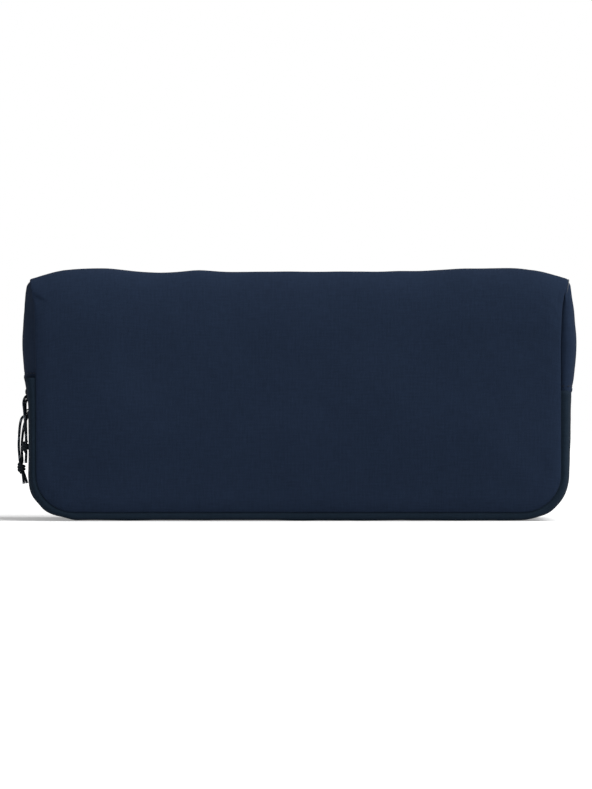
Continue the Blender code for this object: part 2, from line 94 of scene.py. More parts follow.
# How far the gusset strips stand out from the seam, by the angle round a lower corner.
STRIP_BULGE = {
    -1: ((0, 4.1), (7, 4.2), (14, 4.5), (19, 4.8), (31, 5.0), (41, 4.2), (48, 4.8), (62, 3.85), (70, 3.15),
         (78, 3.0), (84, 3.4), (90, 3.95)),
    1: ((0, 4.6), (15, 4.6), (31, 4.7), (43, 4.4), (52, 4.6), (62, 4.1), (70, 3.6), (80, 3.6), (90, 3.95)),
}
# The same at the zip's ends, and the power of the height by which it grows to that.
END_BULGE = {-1: 6.0, 1: 5.7}
END_GROWTH = {-1: 5.0, 1: 1.0}

# The soft fold at the top is an ellipse's quarter: how far it reaches in and how far it rises.
TOP_REACH = 13.0
TOP_RISE = 30.0
NOMINAL_TOP = 116.0
EDGE_ROLL = 1.5
EDGE_SUNK = 0.5
SLOPE_REACH = 7.0
SLOPE_SUNK = 1.2
CLOTH_THICK = 1.2
LINING_OFF = 2.8
LINING_THICK = 0.5
# The share of the shell's softness that its lining follows.
LINING_SOFT = 0.85
FRONT_PUFF = 3.0
BACK_PUFF = 2.2
TOP_PUFF = 0.7

# The zip, by distance outwards from its own path.
TAPE_LOW = 0.2
TAPE_HIGH = 0.8
TOOTH_HIGH = 1.9
TOOTH_PITCH = 1.27
TOOTH_THICK = 0.56

# The fold's end, between the case and the flap.
FOLD_END = (0.0, -0.028, 0.028)
# The same along the front for the shell's cloth, slanted.
SHELL_FOLD_END = (0.0, -0.046, 0.04634)

# The sliders and their cords.
SLIDER_LENGTH = 9.4
SLIDER_MIDDLE = {"upper": 59.9, "lower": 50.0}
CORD_DIAMETER = 1.25
CORD_X = -127.825
CORD_ABOVE_MIDDLE = 0.3
THROUGH_BRIDGE = (
    (-0.05, -1.625, -1.5), (0.0, -1.575, -0.6), (0.0, -1.219, 0.02), (0.0, -0.4875, 0.2),
    (0.0, 0.4875, 0.2), (0.0, 1.219, 0.02), (0.0, 1.575, -0.6), (-0.05, 1.625, -1.5),
)
STRANDS = {
    "upper": (
        (
            (-129.2, -2.8, 57.4), (-129.8, -4.7, 55.0), (-129.4, -5.2, 51.0), (-128.8, -5.2, 43.0),
            (-128.6, -5.1, 37.3),
        ),
        (
            (-128.1, 1.5, 57.6), (-128.4, 1.2, 56.5), (-128.7, -0.4, 55.9), (-128.9, -2.2, 55.2),
            (-129.0, -3.5, 53.2), (-128.8, -3.5, 45.0), (-128.6, -3.5, 37.3),
        ),
    ),
    "lower": (
        (
            (-130.4, -1.5, 48.2), (-131.5, -1.4, 45.5), (-132.1, -1.1, 40.0), (-132.3, -0.9, 34.0),
            (-131.8, -0.8, 27.3),
        ),
        (
            (-128.9, 1.5, 47.2), (-130.1, 1.4, 43.5), (-130.8, 1.0, 38.0), (-131.0, 0.9, 33.0),
            (-130.7, 0.8, 27.3),
        ),
    ),
}
KNOT_MIDDLE = {"upper": (-128.7, -4.3, 34.3), "lower": (-131.1, 0.0, 24.4)}
TAIL_ENDS = {
    "upper": ((-128.7, -5.0, 26.6), (-128.8, -3.6, 27.4)),
    "lower": ((-129.9, -0.8, 16.8), (-128.5, 0.8, 17.0)),
}


# ---------------------------------------------------------------- shapes in general


def smooth_table(pairs, spread=2.5):
    """A smooth function through (place, value) pairs."""
    step = spread / 6.0
    places = np.arange(pairs[0][0] - 8.0, pairs[-1][0] + 8.0, step)
    values = np.interp(places, [p for p, _ in pairs], [v for _, v in pairs])
    reach = np.arange(-18, 19)
    weights = np.exp(-0.5 * (reach / 6.0) ** 2)
    smooth = np.convolve(np.pad(values, 18, mode="edge"), weights / weights.sum(), mode="valid")
    return lambda at: np.interp(at, places, smooth)


def ease(share):
    """0 below 0, 1 above 1, and smooth between them."""
    share = np.clip(share, 0.0, 1.0)
    return share * share * (3.0 - 2.0 * share)


def uneven(points, size, seed):
    """Smooth noise from -1 to 1 at an array of points."""
    flat = points.reshape(-1, 3) / size
    values = [noise.noise((x, y, z + seed)) for x, y, z in flat]
    return np.array(values).reshape(points.shape[:-1])


def smooth_line(points, step):
    """Points about a step apart along a Catmull-Rom curve through the given ones."""
    knots = np.array(points, float)
    last = len(knots) - 1
    line = []
    for k in range(last):
        a, b, c, d = knots[max(k - 1, 0)], knots[k], knots[k + 1], knots[min(k + 2, last)]
        pieces = max(1, round(float(np.linalg.norm(c - b)) / step))
        for t in np.arange(pieces) / pieces:
            slope = (c - a) * t
            bend = (2 * a - 5 * b + 4 * c - d) * t**2
            twist = (3 * b - a - 3 * c + d) * t**3
            line.append((2 * b + slope + bend + twist) / 2)
    line.append(knots[-1])
    return np.array(line)


def run_lengths(grid, axis, wrapped):
    """The mean distance run along one axis of a grid of points."""
    steps = np.linalg.norm(np.roll(grid, -1, axis) - grid, axis=2).mean(axis=1 - axis)
    if not wrapped:
        steps = steps[:-1]
    return np.concatenate([[0.0], np.cumsum(steps)])


def unit(vector):
    return vector / max(float(np.linalg.norm(vector)), 1e-6)


def run_along(line):
    """The distance run along a line at each of its points."""
    return np.concatenate([[0.0], np.cumsum(np.linalg.norm(np.diff(line, axis=0), axis=1))])


def at_run(distance, run, line):
    """The point of a line at a distance run along it."""
    return np.array([np.interp(distance, run, column) for column in line.T])


def mesh_object(name, parts, finish):
    """An object from parts in millimetres: points, faces and one (u, v) for each face corner."""
    points = []
    faces = []
    uvs = []
    for some_points, some_faces, some_uvs in parts:
        faces += [[k + len(points) for k in face] for face in some_faces]
        points += some_points.tolist()
        uvs += some_uvs
    mesh = bpy.data.meshes.new(name)
    mesh.from_pydata((np.array(points) * MM).tolist(), [], faces)
    layer = mesh.uv_layers.new(name="UVMap")
    layer.data.foreach_set("uv", np.asarray(uvs, np.float32).ravel())
    mesh.update()
    mesh.validate()
    mesh.polygons.foreach_set("use_smooth", [True] * len(mesh.polygons))
    thing = bpy.data.objects.new(name, mesh)
    thing.data.materials.append(finish)
    bpy.context.scene.collection.objects.link(thing)
    return thing


def grid_parts(grid, wrap_rows=False, wrap_columns=False, caps=False, uv=None, flip=False):
    """(points, faces, uvs) of a grid of points: rows by columns, open or wrapped round."""
    rows, columns = grid.shape[:2]
    if uv is None:
        uv = np.stack(np.meshgrid(run_lengths(grid, 1, wrap_columns), run_lengths(grid, 0, wrap_rows)), 2)
    points = grid.reshape(-1, 3)
    faces = []
    uvs = []
    for i in range(rows if wrap_rows else rows - 1):
        for j in range(columns if wrap_columns else columns - 1):
            corners = [(i, j), (i, j + 1), (i + 1, j + 1), (i + 1, j)]
            if flip:
                corners.reverse()
            faces.append([(a % rows) * columns + b % columns for a, b in corners])
            uvs += [tuple(uv[a, b]) for a, b in corners]
    if caps:
        for start, turn in ((0, -1), ((rows - 1) * columns, 1)):
            ring = list(range(start, start + columns))
            if (turn < 0) != flip:
                ring.reverse()
            faces.append(ring)
            middle = points[ring].mean(axis=0)
            uvs += [tuple((points[k] - middle)[:2]) for k in ring]
    return points, faces, uvs


def thickened(thing, thick, inner):
    """Gives an open sheet a thickness behind its face, with perhaps another finish inside."""
    solidify = thing.modifiers.new("thick", "SOLIDIFY")
    solidify.thickness = thick * MM
    solidify.offset = -1.0
    solidify.use_rim = True
    if inner:
        thing.data.materials.append(MATERIALS[inner])
        solidify.material_offset = 1
    bpy.context.view_layer.update()
    graph = bpy.context.evaluated_depsgraph_get()
    shape = bpy.data.meshes.new_from_object(
        thing.evaluated_get(graph), preserve_all_data_layers=True, depsgraph=graph
    )
    thing.modifiers.clear()
    thing.data = shape


def piece(name, parts, finish, body, slot, *nodes, thick=0.0, inner=None):
    """A named piece that rides a body, or, for the fold between the case and the flap, stays fixed where it
    is made.
    """
    thing = mesh_object(name, parts, MATERIALS[finish])
    if thick:
        thickened(thing, thick, inner)
    fold_ends = {"fold": FOLD_END, "shell_fold": SHELL_FOLD_END}
    if body in fold_ends:
        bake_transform(thing)
    else:
        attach(thing, body)
    if nodes:
        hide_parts(*nodes)
    return thing


def outward_volume(points, faces):
    volume = 0.0
    for face in faces:
        a = points[face[0]]
        for i in range(1, len(face) - 1):
            volume += float(np.dot(a, np.cross(points[face[i]], points[face[i + 1]])))
    return volume


def directions(line):
    """The unit direction of a line at each of its points."""
    tangents = np.gradient(line, axis=0)
    return tangents / np.linalg.norm(tangents, axis=1)[:, None]


def closed_parts(rings, wrap_rows=False, caps=True):
    """The parts of a closed skin over rings of points, with its faces turned outwards."""
    grid = np.array(rings)
    parts = grid_parts(grid, wrap_rows, True, caps)
    if outward_volume(*parts[:2]) < 0.0:
        parts = grid_parts(grid, wrap_rows, True, caps, flip=True)
    return parts


def tube_parts(line, radius, sides, flat=1.0):
    """A round tube along a line of points. The radius may change along it."""
    line = np.asarray(line, float)
    radii = np.broadcast_to(np.asarray(radius, float), (len(line),))
    tangents = directions(line)
    side = np.cross(tangents[0], (0.0, 1.0, 0.0))
    if np.linalg.norm(side) < 0.1:
        side = np.cross(tangents[0], (1.0, 0.0, 0.0))
    turns = np.arange(sides) / sides * TAU
    rings = []
    for point, tangent, r in zip(line, tangents, radii):
        side = side - tangent * np.dot(side, tangent)
        side /= np.linalg.norm(side)
        other = np.cross(tangent, side)
        rings.append(point + r * (np.cos(turns)[:, None] * side * flat + np.sin(turns)[:, None] * other))
    return closed_parts(rings)


def round_ring(half_a, half_b, radius, steps):
    """(a, b) points round four corners, whose centres are half_a and half_b from the middle."""
    ring = []
    for corner, (sign_a, sign_b) in enumerate(((1, 1), (-1, 1), (-1, -1), (1, -1))):
        for k in range(steps + 1):
            angle = math.pi / 2 * (corner + k / steps)
            a = sign_a * half_a + radius * math.cos(angle)
            ring.append((a, sign_b * half_b + radius * math.sin(angle)))
    return ring


def rounded_block(low, high, radius):
    """The parts of a box with rounded edges all round."""
    low, high = np.array(low), np.array(high)
    core = (high - low) / 2 - radius
    steps = 3
    bands = []
    for i in range(2 * steps + 2):
        turn = math.pi * (i / (2 * steps + 1) - 0.5)
        level = math.copysign(core[2], turn) + radius * math.sin(turn)
        ring = round_ring(core[0], core[1], radius * math.cos(turn), steps)
        bands.append([(x, y, level) for x, y in ring])
    return grid_parts(np.array(bands) + (low + high) / 2, wrap_columns=True, caps=True)


# ---------------------------------------------------------------- materials


def new_material(name, colour, roughness, metallic=0.0, specular=0.5, sheen=0.0):
    made = bpy.data.materials.new(name)
    made.use_nodes = True
    shader = made.node_tree.nodes["Principled BSDF"]
    shader.inputs["Base Color"].default_value = (*colour, 1.0)
    shader.inputs["Roughness"].default_value = roughness
    shader.inputs["Metallic"].default_value = metallic
    shader.inputs["Specular IOR Level"].default_value = specular
    shader.inputs["Sheen Weight"].default_value = sheen
    shader.inputs["Sheen Roughness"].default_value = 0.5
    return made, made.node_tree, shader


def node(tree, kind, inputs=(), **settings):
    """A node with its settings and inputs: each input is a number, a tuple or another node's socket."""
    made = tree.nodes.new(kind)
    for key, value in settings.items():
        setattr(made, key, value)
    for key, value in dict(inputs).items():
        if isinstance(value, bpy.types.NodeSocket):
            tree.links.new(value, made.inputs[key])
        else:
            made.inputs[key].default_value = value
    return made


def math_node(operation, first, second=0.0):
    """The result of a math node on numbers or sockets. One of the two is a socket."""
    tree = (first if isinstance(first, bpy.types.NodeSocket) else second).id_data
    return node(tree, "ShaderNodeMath", {0: first, 1: second}, operation=operation).outputs[0]


def times(first, second):
    return math_node("MULTIPLY", first, second)


def plus(first, second):
    return math_node("ADD", first, second)


def size_of(value):
    return math_node("ABSOLUTE", value)


def weighted(first, first_share, second, second_share):
    return plus(times(first, first_share), times(second, second_share))


def uv_parts(tree):
    uv = node(tree, "ShaderNodeTexCoord").outputs["UV"]
    parts = node(tree, "ShaderNodeSeparateXYZ", {0: uv})
    return uv, parts.outputs["X"], parts.outputs["Y"]


def wave(value, pitch):
    """A sine of the value with the given pitch, from -1 to 1."""
    return math_node("SINE", times(value, TAU / pitch))


def noise_value(vector, size):
    """Noise over a vector of millimetres."""
    settings = {"Vector": vector, "Scale": 1.0 / size, "Detail": 3.0}
    return node(vector.id_data, "ShaderNodeTexNoise", settings).outputs["Fac"]


def place_grain(tree, scale, detail=2.0):
    """Noise by the place on the object, in metres."""
    place = node(tree, "ShaderNodeTexCoord").outputs["Object"]
    settings = {"Vector": place, "Scale": scale, "Detail": detail}
    return node(tree, "ShaderNodeTexNoise", settings).outputs["Fac"]


def mixed(factor, first, second):
    settings = {"Factor": factor, "A": first, "B": second}
    return node(factor.id_data, "ShaderNodeMix", settings, data_type="RGBA").outputs["Result"]


def colour_ramp(factor, colour, dark, light):
    """From a darker to a lighter tone of a colour."""
    tones = [(*[min(1.0, c * tone) for c in colour], 1.0) for tone in (dark, light)]
    return mixed(factor, *tones)


def paint(shader, colours):
    shader.id_data.links.new(colours, shader.inputs["Base Color"])


def add_bump(shader, height, depth):
    """Height from 0 to 1, over a depth in millimetres."""
    tree = shader.id_data
    made = node(tree, "ShaderNodeBump", {"Height": height, "Strength": 1.0, "Distance": depth * MM})
    tree.links.new(made.outputs["Normal"], shader.inputs["Normal"])


def woven(name, colour, pitch=0.62, depth=0.05, roughness=0.85, specular=0.04):
    """Plain-weave cloth: crossing threads, uneven yarn, streaks of it and a slow change of tone."""
    made, tree, shader = new_material(name, colour, roughness, specular=specular, sheen=0.01)
    uv, across, along = uv_parts(tree)
    slubs = []
    for scale in ((1.0, 0.12, 1.0), (0.12, 1.0, 1.0)):
        drawn_out = node(tree, "ShaderNodeMapping", {"Vector": uv, "Scale": scale}).outputs[0]
        slubs.append(noise_value(drawn_out, pitch * 1.2))
    warp, weft = wave(across, 2 * pitch), wave(along, 2 * pitch)
    over = math_node("GREATER_THAN", times(warp, weft), 0.0)
    under = math_node("SUBTRACT", 1.0, over)
    height = weighted(size_of(warp), over, size_of(weft), under)
    yarn = weighted(slubs[0], over, slubs[1], under)
    slow = math_node("SUBTRACT", noise_value(uv, 34.0), 0.5)
    streaks = math_node("SUBTRACT", plus(*slubs), 1.0)
    tone = plus(weighted(height, 0.45, yarn, 0.55), weighted(slow, 0.7, streaks, 0.9))
    paint(shader, colour_ramp(tone, colour, 0.84, 1.16))
    add_bump(shader, weighted(height, 0.7, yarn, 0.5), depth)
    return made


def ribbed(name, colour, pitch, depth):
    """Grosgrain, knitted tape or elastic: ribs across the band and fine threads over them."""
    made, tree, shader = new_material(name, colour, 0.75, specular=0.15, sheen=0.05)
    uv, across, along = uv_parts(tree)
    height = weighted(size_of(wave(along, 2 * pitch)), 0.75, size_of(wave(across, 0.9 * pitch)), 0.25)
    tone = weighted(height, 0.6, noise_value(uv, 0.5), 0.4)
    paint(shader, colour_ramp(tone, colour, 0.75, 1.25))
    add_bump(shader, height, depth)
    return made


def netting(name, colour):
    """Open mesh: round holes in staggered rows between fine bars."""
    made, tree, shader = new_material(name, colour, 0.8, specular=0.15, sheen=0.05)
    _, across, along = uv_parts(tree)
    pitch = 1.5
    bars = 0.4
    lattice = size_of(times(*[math_node("COSINE", times(way, TAU / pitch)) for way in (across, along)]))
    tree.links.new(math_node("LESS_THAN", lattice, bars), shader.inputs["Alpha"])
    paint(shader, colour_ramp(lattice, colour, 1.3, 0.7))
    return made


def braided(name, colour, fleck):
    """Braided cord: slanting strands, with a light reflective thread that shows now and then."""
    made, tree, shader = new_material(name, colour, 0.7, specular=0.2, sheen=0.08)
    uv, across, along = uv_parts(tree)
    strands = 8.0
    turn = times(across, strands / (math.pi * CORD_DIAMETER))
    climb = times(along, 1.0 / 0.62)
    left = math_node("SINE", times(plus(turn, climb), math.pi))
    right = math_node("SINE", times(math_node("SUBTRACT", turn, climb), math.pi))
    height = math_node("MAXIMUM", size_of(left), size_of(right))
    base = colour_ramp(weighted(height, 0.7, noise_value(uv, 0.35), 0.5), colour, 0.6, 1.35)
    spot = math_node("GREATER_THAN", wave(along, 8.6), 0.86)
    strand = math_node("GREATER_THAN", left, 0.35)
    paint(shader, mixed(times(spot, strand), base, (*fleck, 1.0)))
    add_bump(shader, height, 0.12)
    return made


def moulded(name, colour, roughness=0.42, specular=0.35):
    """Moulded nylon with a faint grain."""
    made, tree, shader = new_material(name, colour, roughness, specular=specular)
    grain = place_grain(tree, 2600.0)
    paint(shader, colour_ramp(grain, colour, 0.75, 1.3))
    add_bump(shader, grain, 0.02)
    return made


def worn_metal(name, colour):
    """Dark painted metal, rubbed a little lighter in places."""
    made, tree, shader = new_material(name, colour, 0.36, metallic=0.75, specular=0.5)
    patches = place_grain(tree, 420.0, 4.0)
    paint(shader, colour_ramp(patches, colour, 0.6, 1.5))
    rough = node(tree, "ShaderNodeMapRange", {"Value": patches, "To Min": 0.26, "To Max": 0.5})
    tree.links.new(rough.outputs[0], shader.inputs["Roughness"])
    add_bump(shader, patches, 0.015)
    return made


NAVY = (0.0135, 0.0234, 0.0472)
MATERIALS = {
    "shell": woven("shell_cloth", NAVY),
    # The strips' cloth is the shell's navy painted darker: painted shade for the band round the bottom and
    # the sides, where less light falls.
    "strip": woven("strip_cloth", (0.0108, 0.0196, 0.0325)),
    "lining": woven("lining_cloth", (0.090, 0.100, 0.115), 0.35, 0.02, roughness=0.65, specular=0.3),
    "tape": ribbed("zip_tape_knit", (0.0060, 0.0095, 0.0180), pitch=0.8, depth=0.10),
    "teeth": moulded("zip_teeth_nylon", (0.0060, 0.0080, 0.0130)),
    "metal": worn_metal("slider_metal", (0.045, 0.048, 0.055)),
    "cord": braided("cord_braid", (0.0080, 0.0135, 0.0210), (0.36, 0.40, 0.45)),
    "mesh": netting("pocket_net", (0.030, 0.035, 0.045)),
    "elastic": ribbed("elastic_rib", (0.0110, 0.0115, 0.0135), pitch=0.9, depth=0.12),
    "binding": ribbed("binding_grosgrain", (0.0110, 0.0120, 0.0150), pitch=0.8, depth=0.10),
    "thread": moulded("sewing_thread", (0.0075, 0.0120, 0.0240), 0.6, 0.2),
}


# ---------------------------------------------------------------- camera, light, floor


def build_camera():
    data = bpy.data.cameras.new("camera")
    data.lens = CAMERA_LENS
    data.sensor_width = CAMERA_SENSOR
    data.clip_start = 0.05
    data.clip_end = 50.0
    camera = bpy.data.objects.new("camera", data)
    camera.location = CAMERA_PLACE
    camera.rotation_euler = (math.pi / 2, 0.0, 0.0)
    bpy.context.scene.collection.objects.link(camera)
    bpy.context.scene.camera = camera


def build_studio():
    scene = bpy.context.scene
    scene.view_settings.view_transform = "Standard"
    white = (1.0, 1.0, 1.0, 1.0)
    world = bpy.data.worlds.new("studio")
    world.use_nodes = True
    tree = world.node_tree
    sky = tree.nodes["Background"]
    sky.inputs["Color"].default_value = white
    seen = node(tree, "ShaderNodeLightPath").outputs["Is Camera Ray"]
    strength = node(tree, "ShaderNodeMapRange", {"Value": seen, "To Min": AMBIENT, "To Max": 1.0})
    tree.links.new(strength.outputs[0], sky.inputs["Strength"])
    scene.world = world
    data = bpy.data.lights.new("key", "SUN")
    data.energy = KEY_STRENGTH
    data.angle = math.radians(KEY_SPREAD)
    lamp = bpy.data.objects.new("key", data)
    lamp.rotation_euler = Vector(KEY_FROM).to_track_quat("Z", "Y").to_euler()
    scene.collection.objects.link(lamp)
    tone = (FLOOR_TONE,) * 3
    pale, tree, shader = new_material("floor_pale", tone, 0.9, specular=0.1)
    paint(shader, colour_ramp(place_grain(tree, 30.0), tone, 0.99, 1.01))
    shader.inputs["Emission Color"].default_value = white
    seen = node(tree, "ShaderNodeLightPath").outputs["Is Camera Ray"]
    tree.links.new(times(seen, FLOOR_GLOW), shader.inputs["Emission Strength"])
    steps = np.linspace(-4000.0, 4000.0, 9)
    ground = np.array([[(x, y, 0.0) for x in steps] for y in steps])
    mesh_object("floor", [grid_parts(ground)], pale)


# ---------------------------------------------------------------- the pulls


def cord_line(which, step):
    """The cord's route: up the front strand, through the bridge and down the rear one."""
    front, rear = STRANDS[which]
    top = SLIDER_MIDDLE[which] + CORD_ABOVE_MIDDLE
    through = [(CORD_X + x, y, top + z) for x, y, z in THROUGH_BRIDGE]
    return smooth_line(list(reversed(front)) + through + list(rear), step)


def knot_parts(which):
    """An overhand knot seen as its wraps round the two strands, with the tails below."""
    middle = np.array(KNOT_MIDDLE[which])
    radius = CORD_DIAMETER / 2
    wraps = 2.8
    turns = np.linspace(0.0, wraps * TAU, 72)
    share = turns / turns[-1]
    wide = 1.18 + 0.22 * np.sin(share * math.pi)
    height = 1.8 - 3.6 * share + 0.42 * np.sin(turns + 0.4)
    coil = np.stack([wide * np.cos(turns + 0.8), wide * np.sin(turns + 0.8), height], axis=1)
    start = (0.35, 0.3, 2.4)
    end = (-0.3, -0.35, -2.5)
    coil = smooth_line([start] + list(coil[3:-3:3]) + [end], 0.35)
    parts = [tube_parts(coil + middle, radius, 14)]
    drift = (0.15, 0.0, 0.0)
    for strand, tail in zip(STRANDS[which], TAIL_ENDS[which]):
        above = np.array(strand[-1])
        inside = middle + (0.0, 0.4 * (above - middle)[1], 0.6)
        below = middle + (np.array(tail) - middle) * 0.4 + drift
        line = smooth_line([above, inside, below, tail], 0.4)
        radii = np.full(len(line), radius)
        radii[-3:] = radius * np.array([1.04, 1.12, 1.05])
        parts.append(tube_parts(line, radii, 14))
    return parts


def build_pull(which):
    line = cord_line(which, 0.45)
    body = which + "_pull"
    skin = [tube_parts(line, CORD_DIAMETER / 2, 16)]
    cord = piece("cord_" + which, skin, "cord", body, "cord", "pull_cord_" + which)
    knot = piece("knot_" + which, knot_parts(which), "cord", body, "cord", "pull_knot_" + which)


# ---------------------------------------------------------------- the shell


CROWN = smooth_table(CROWN_TABLE)
SEAM = {side: smooth_table(pairs) for side, pairs in SEAM_TABLES.items()}
GUSSET_OUTLINE = {side: smooth_table(pairs) for side, pairs in GUSSET_TABLES.items()}
EDGE_STEPS = np.concatenate([
    [0.0, 0.15, 0.4, 0.8], np.arange(1.2, 7.4, 0.5), [7.8, 8.5, 9.5, 10.8, 12.5, 15.5, 19.0],
])


def shell_rows():
    """The rows of the shell's cloth, from the front's bottom seam over the top to the back's.

    Each is (part, value): a height on the front or back, an angle on a fold, or a depth on the top.
    """
    low = SEAM_BOTTOM + EDGE_STEPS
    heights = np.concatenate([low, np.arange(low[-1] + 1.7, NOMINAL_TOP - TOP_RISE - 0.8, 1.7)])
    angles = np.linspace(0.0, math.pi / 2, 45)
    creased = np.linspace(0.52, 0.96, 34)
    outside = angles[(angles < creased[0] - 0.01) | (angles > creased[-1] + 0.01)]
    depth = HALF_DEPTH - TOP_REACH
    rows = [("front", z) for z in heights]
    rows += [("front_fold", a) for a in np.sort(np.concatenate([outside, creased]))]
    rows += [("top", y) for y in np.linspace(-depth, depth, 17)[1:-1]]
    rows += [("back_fold", a) for a in angles[::-1]]
    rows += [("back", z) for z in heights[::-1]]
    return rows


def row_height(part, value):
    """The nominal height of a row, which sets where its side seams are."""
    if part in ("front", "back"):
        return value
    if part == "top":
        return NOMINAL_TOP
    return NOMINAL_TOP - TOP_RISE + TOP_RISE * math.sin(value)


def corner_cut(part, height, inset):
    """How much narrower a row is because of the panel's round lower corners."""
    drop = SEAM_BOTTOM + CORNER_RADIUS - height
    if part not in ("front", "back") or drop <= 0.0:
        return 0.0
    radius = CORNER_RADIUS - inset
    return radius - math.sqrt(max(0.0, radius**2 - min(drop, radius) ** 2))


def row_columns(part, value, inset):
    """Places across the width, dense by both seams."""
    height = row_height(part, value)
    cut = corner_cut(part, height, inset)
    left = -SEAM[-1](height) + cut + inset
    right = SEAM[1](height) - cut - inset
    between = np.linspace(0.0, 1.0, 84)[1:-1]
    low, high = left + EDGE_STEPS[-1], right - EDGE_STEPS[-1]
    return np.concatenate([left + EDGE_STEPS, low + between * (high - low), right - EDGE_STEPS[::-1]])


def seam_distance(x, part, value):
    """How far points of a row are from the panel's nearest seam."""
    height = row_height(part, value)
    distance = np.full(x.shape, 1e3)
    on_panel = part in ("front", "back")
    centre_z = SEAM_BOTTOM + CORNER_RADIUS
    for side in (-1, 1):
        wide = SEAM[side](height)
        reach = side * x
        across = wide - reach
        if on_panel:
            across = np.where(reach > 0, np.minimum(across, height - SEAM_BOTTOM), across)
            if height < centre_z:
                past = reach - (wide - CORNER_RADIUS)
                corner = CORNER_RADIUS - np.hypot(past, centre_z - height)
                across = np.where(past > 0, corner, across)
        distance = np.where(reach > 0, across, distance)
    return np.maximum(distance, 0.0)


def shell_frame(x, part, value):
    """The taut shell's points and outward directions along a row, before any softness."""
    crown = CROWN(x)
    fold_z = crown - TOP_RISE
    depth = HALF_DEPTH - TOP_REACH
    zero = np.zeros_like(x)
    if part in ("front", "back"):
        side = -1.0 if part == "front" else 1.0
        share = (value - SEAM_BOTTOM) / (NOMINAL_TOP - TOP_RISE - SEAM_BOTTOM)
        z = SEAM_BOTTOM + share * (fold_z - SEAM_BOTTOM)
        return np.stack([x, zero + side * HALF_DEPTH, z], 1), np.stack([zero, zero + side, zero], 1)
    if part == "top":
        return np.stack([x, zero + value, crown], 1), np.stack([zero, zero, zero + 1.0], 1)
    side = -1.0 if part == "front_fold" else 1.0
    c, s = math.cos(value), math.sin(value)
    points = np.stack([x, zero + side * (depth + TOP_REACH * c), fold_z + TOP_RISE * s], 1)
    steep = math.hypot(TOP_RISE * c, TOP_REACH * s)
    out_y, out_z = side * TOP_RISE * c / steep, TOP_REACH * s / steep
    return points, np.stack([zero, zero + out_y, zero + out_z], 1)


def puff(points, distance, part, value):
    """How far the filled pouch pushes its cloth out."""
    height = points[:, 2]
    if part == "top":
        return TOP_PUFF * ease(distance / 30.0) * math.cos(value / (HALF_DEPTH - TOP_REACH) * math.pi / 2)
    full = FRONT_PUFF if part in ("front", "front_fold") else BACK_PUFF
    return full * ease(distance / 42.0) * ease((107.0 - height) / 58.0)


CREASES = (
    # Start and end (x, z) on the front, depth and half width.
    ((-124.0, 105.4), (-117.8, 101.7), 0.70, 0.7),
    ((121.8, 106.0), (117.0, 101.5), 0.3, 1.2),
    ((-119.5, 21.0), (-111.0, 30.0), 0.22, 1.8),
    ((118.5, 21.0), (110.5, 29.0), 0.22, 1.8),
)


def crease_depth(points):
    """Small pinched folds in the front, by its corners: sharp above and shallow below."""
    total = np.zeros(len(points))
    for start, end, depth, wide in CREASES:
        a, b = np.array(start), np.array(end)
        along = b - a
        place = points[:, (0, 2)] - a
        share = np.clip(place @ along / (along @ along), 0.0, 1.0)
        away = np.linalg.norm(place - share[:, None] * along, axis=1)
        below = (place @ (along[1], -along[0])) * np.sign(along[0]) / np.linalg.norm(along)
        fade = np.sin(np.pi * (0.14 + 0.82 * share))
        spread = wide * (1.0 + 3.0 * ease(0.5 + below / wide))
        total += depth * np.exp(-((away / spread) ** 2)) * fade
    return total


def slope_sunk(height):
    """How deep the cloth slopes down to its seams: less towards the top."""
    return SLOPE_SUNK * ease((112.0 - height) / 16.0)


# Uneven waves in the cloth: how high, how long and the noise's seed.
CLOTH_WAVES = ((0.55, 36.0, 3.0), (0.16, 13.0, 8.0))
PUCKER_HIGH = 0.14
PUCKER_SIZE = 4.6
PUCKER_FROM_SEAM = 4.0


def softness(points, distance, part, value):
    """The cloth's displacement from the taut shell, outwards."""
    roll = np.clip(1.0 - distance / EDGE_ROLL, 0.0, 1.0)
    out = -EDGE_SUNK * (1.0 - np.sqrt(1.0 - roll**2))
    out -= slope_sunk(points[:, 2]) * np.clip(1.0 - distance / SLOPE_REACH, 0.0, 1.0) ** 2
    out += puff(points, distance, part, value)
    near = ease(distance / 12.0)
    for high, size, seed in CLOTH_WAVES:
        out += high * near * uneven(points, size, seed)
    pucker = np.exp(-((distance - PUCKER_FROM_SEAM) / 3.0) ** 2) * ease(distance / 1.5)
    out += PUCKER_HIGH * pucker * uneven(points * (1.0, 0.6, 1.0), PUCKER_SIZE, 5.0)
    if part in ("front", "front_fold"):
        out -= crease_depth(points)
    return out


def shell_grid(off=0.0, inset=0.0, kept=lambda part, value: True, detail=1.0):
    """(grid, uv) of the shell's surface, off millimetres inside the cloth's face."""
    grid, flat_x = [], []
    for part, value in shell_rows():
        if not kept(part, value):
            continue
        x = row_columns(part, value, inset)
        points, out = shell_frame(x, part, value)
        moved = softness(points, seam_distance(x, part, value), part, value) * detail
        grid.append(points + out * (moved - off)[:, None])
        flat_x.append(x)
    grid = np.array(grid)
    run = run_along(grid[:, grid.shape[1] // 2])
    return grid, np.stack([np.array(flat_x), np.repeat(run[:, None], grid.shape[1], axis=1)], 2)


def build_shell():
    grid, uv = shell_grid()
    cloth = piece("shell_cloth", [grid_parts(grid, uv=uv)], "shell", "shell_fold", "shell_fabric",
                  "outer_shell", "front_panel_lower", thick=CLOTH_THICK, inner="lining")
    flat = (2.0 * SEAM[-1](60.0) * MM, float(uv[-1, 0, 1]) * MM)


# ---------------------------------------------------------------- the upper gussets


def fold_curve(side):
    """(depth, height, reach, rise) of the top fold's quarter ellipse where the shell meets a gusset."""
    crown = float(CROWN(side * (SEAM[side](NOMINAL_TOP) - 0.5)))
    return HALF_DEPTH - TOP_REACH, crown - TOP_RISE, TOP_REACH - EDGE_SUNK + 0.1, TOP_RISE - EDGE_SUNK + 0.1


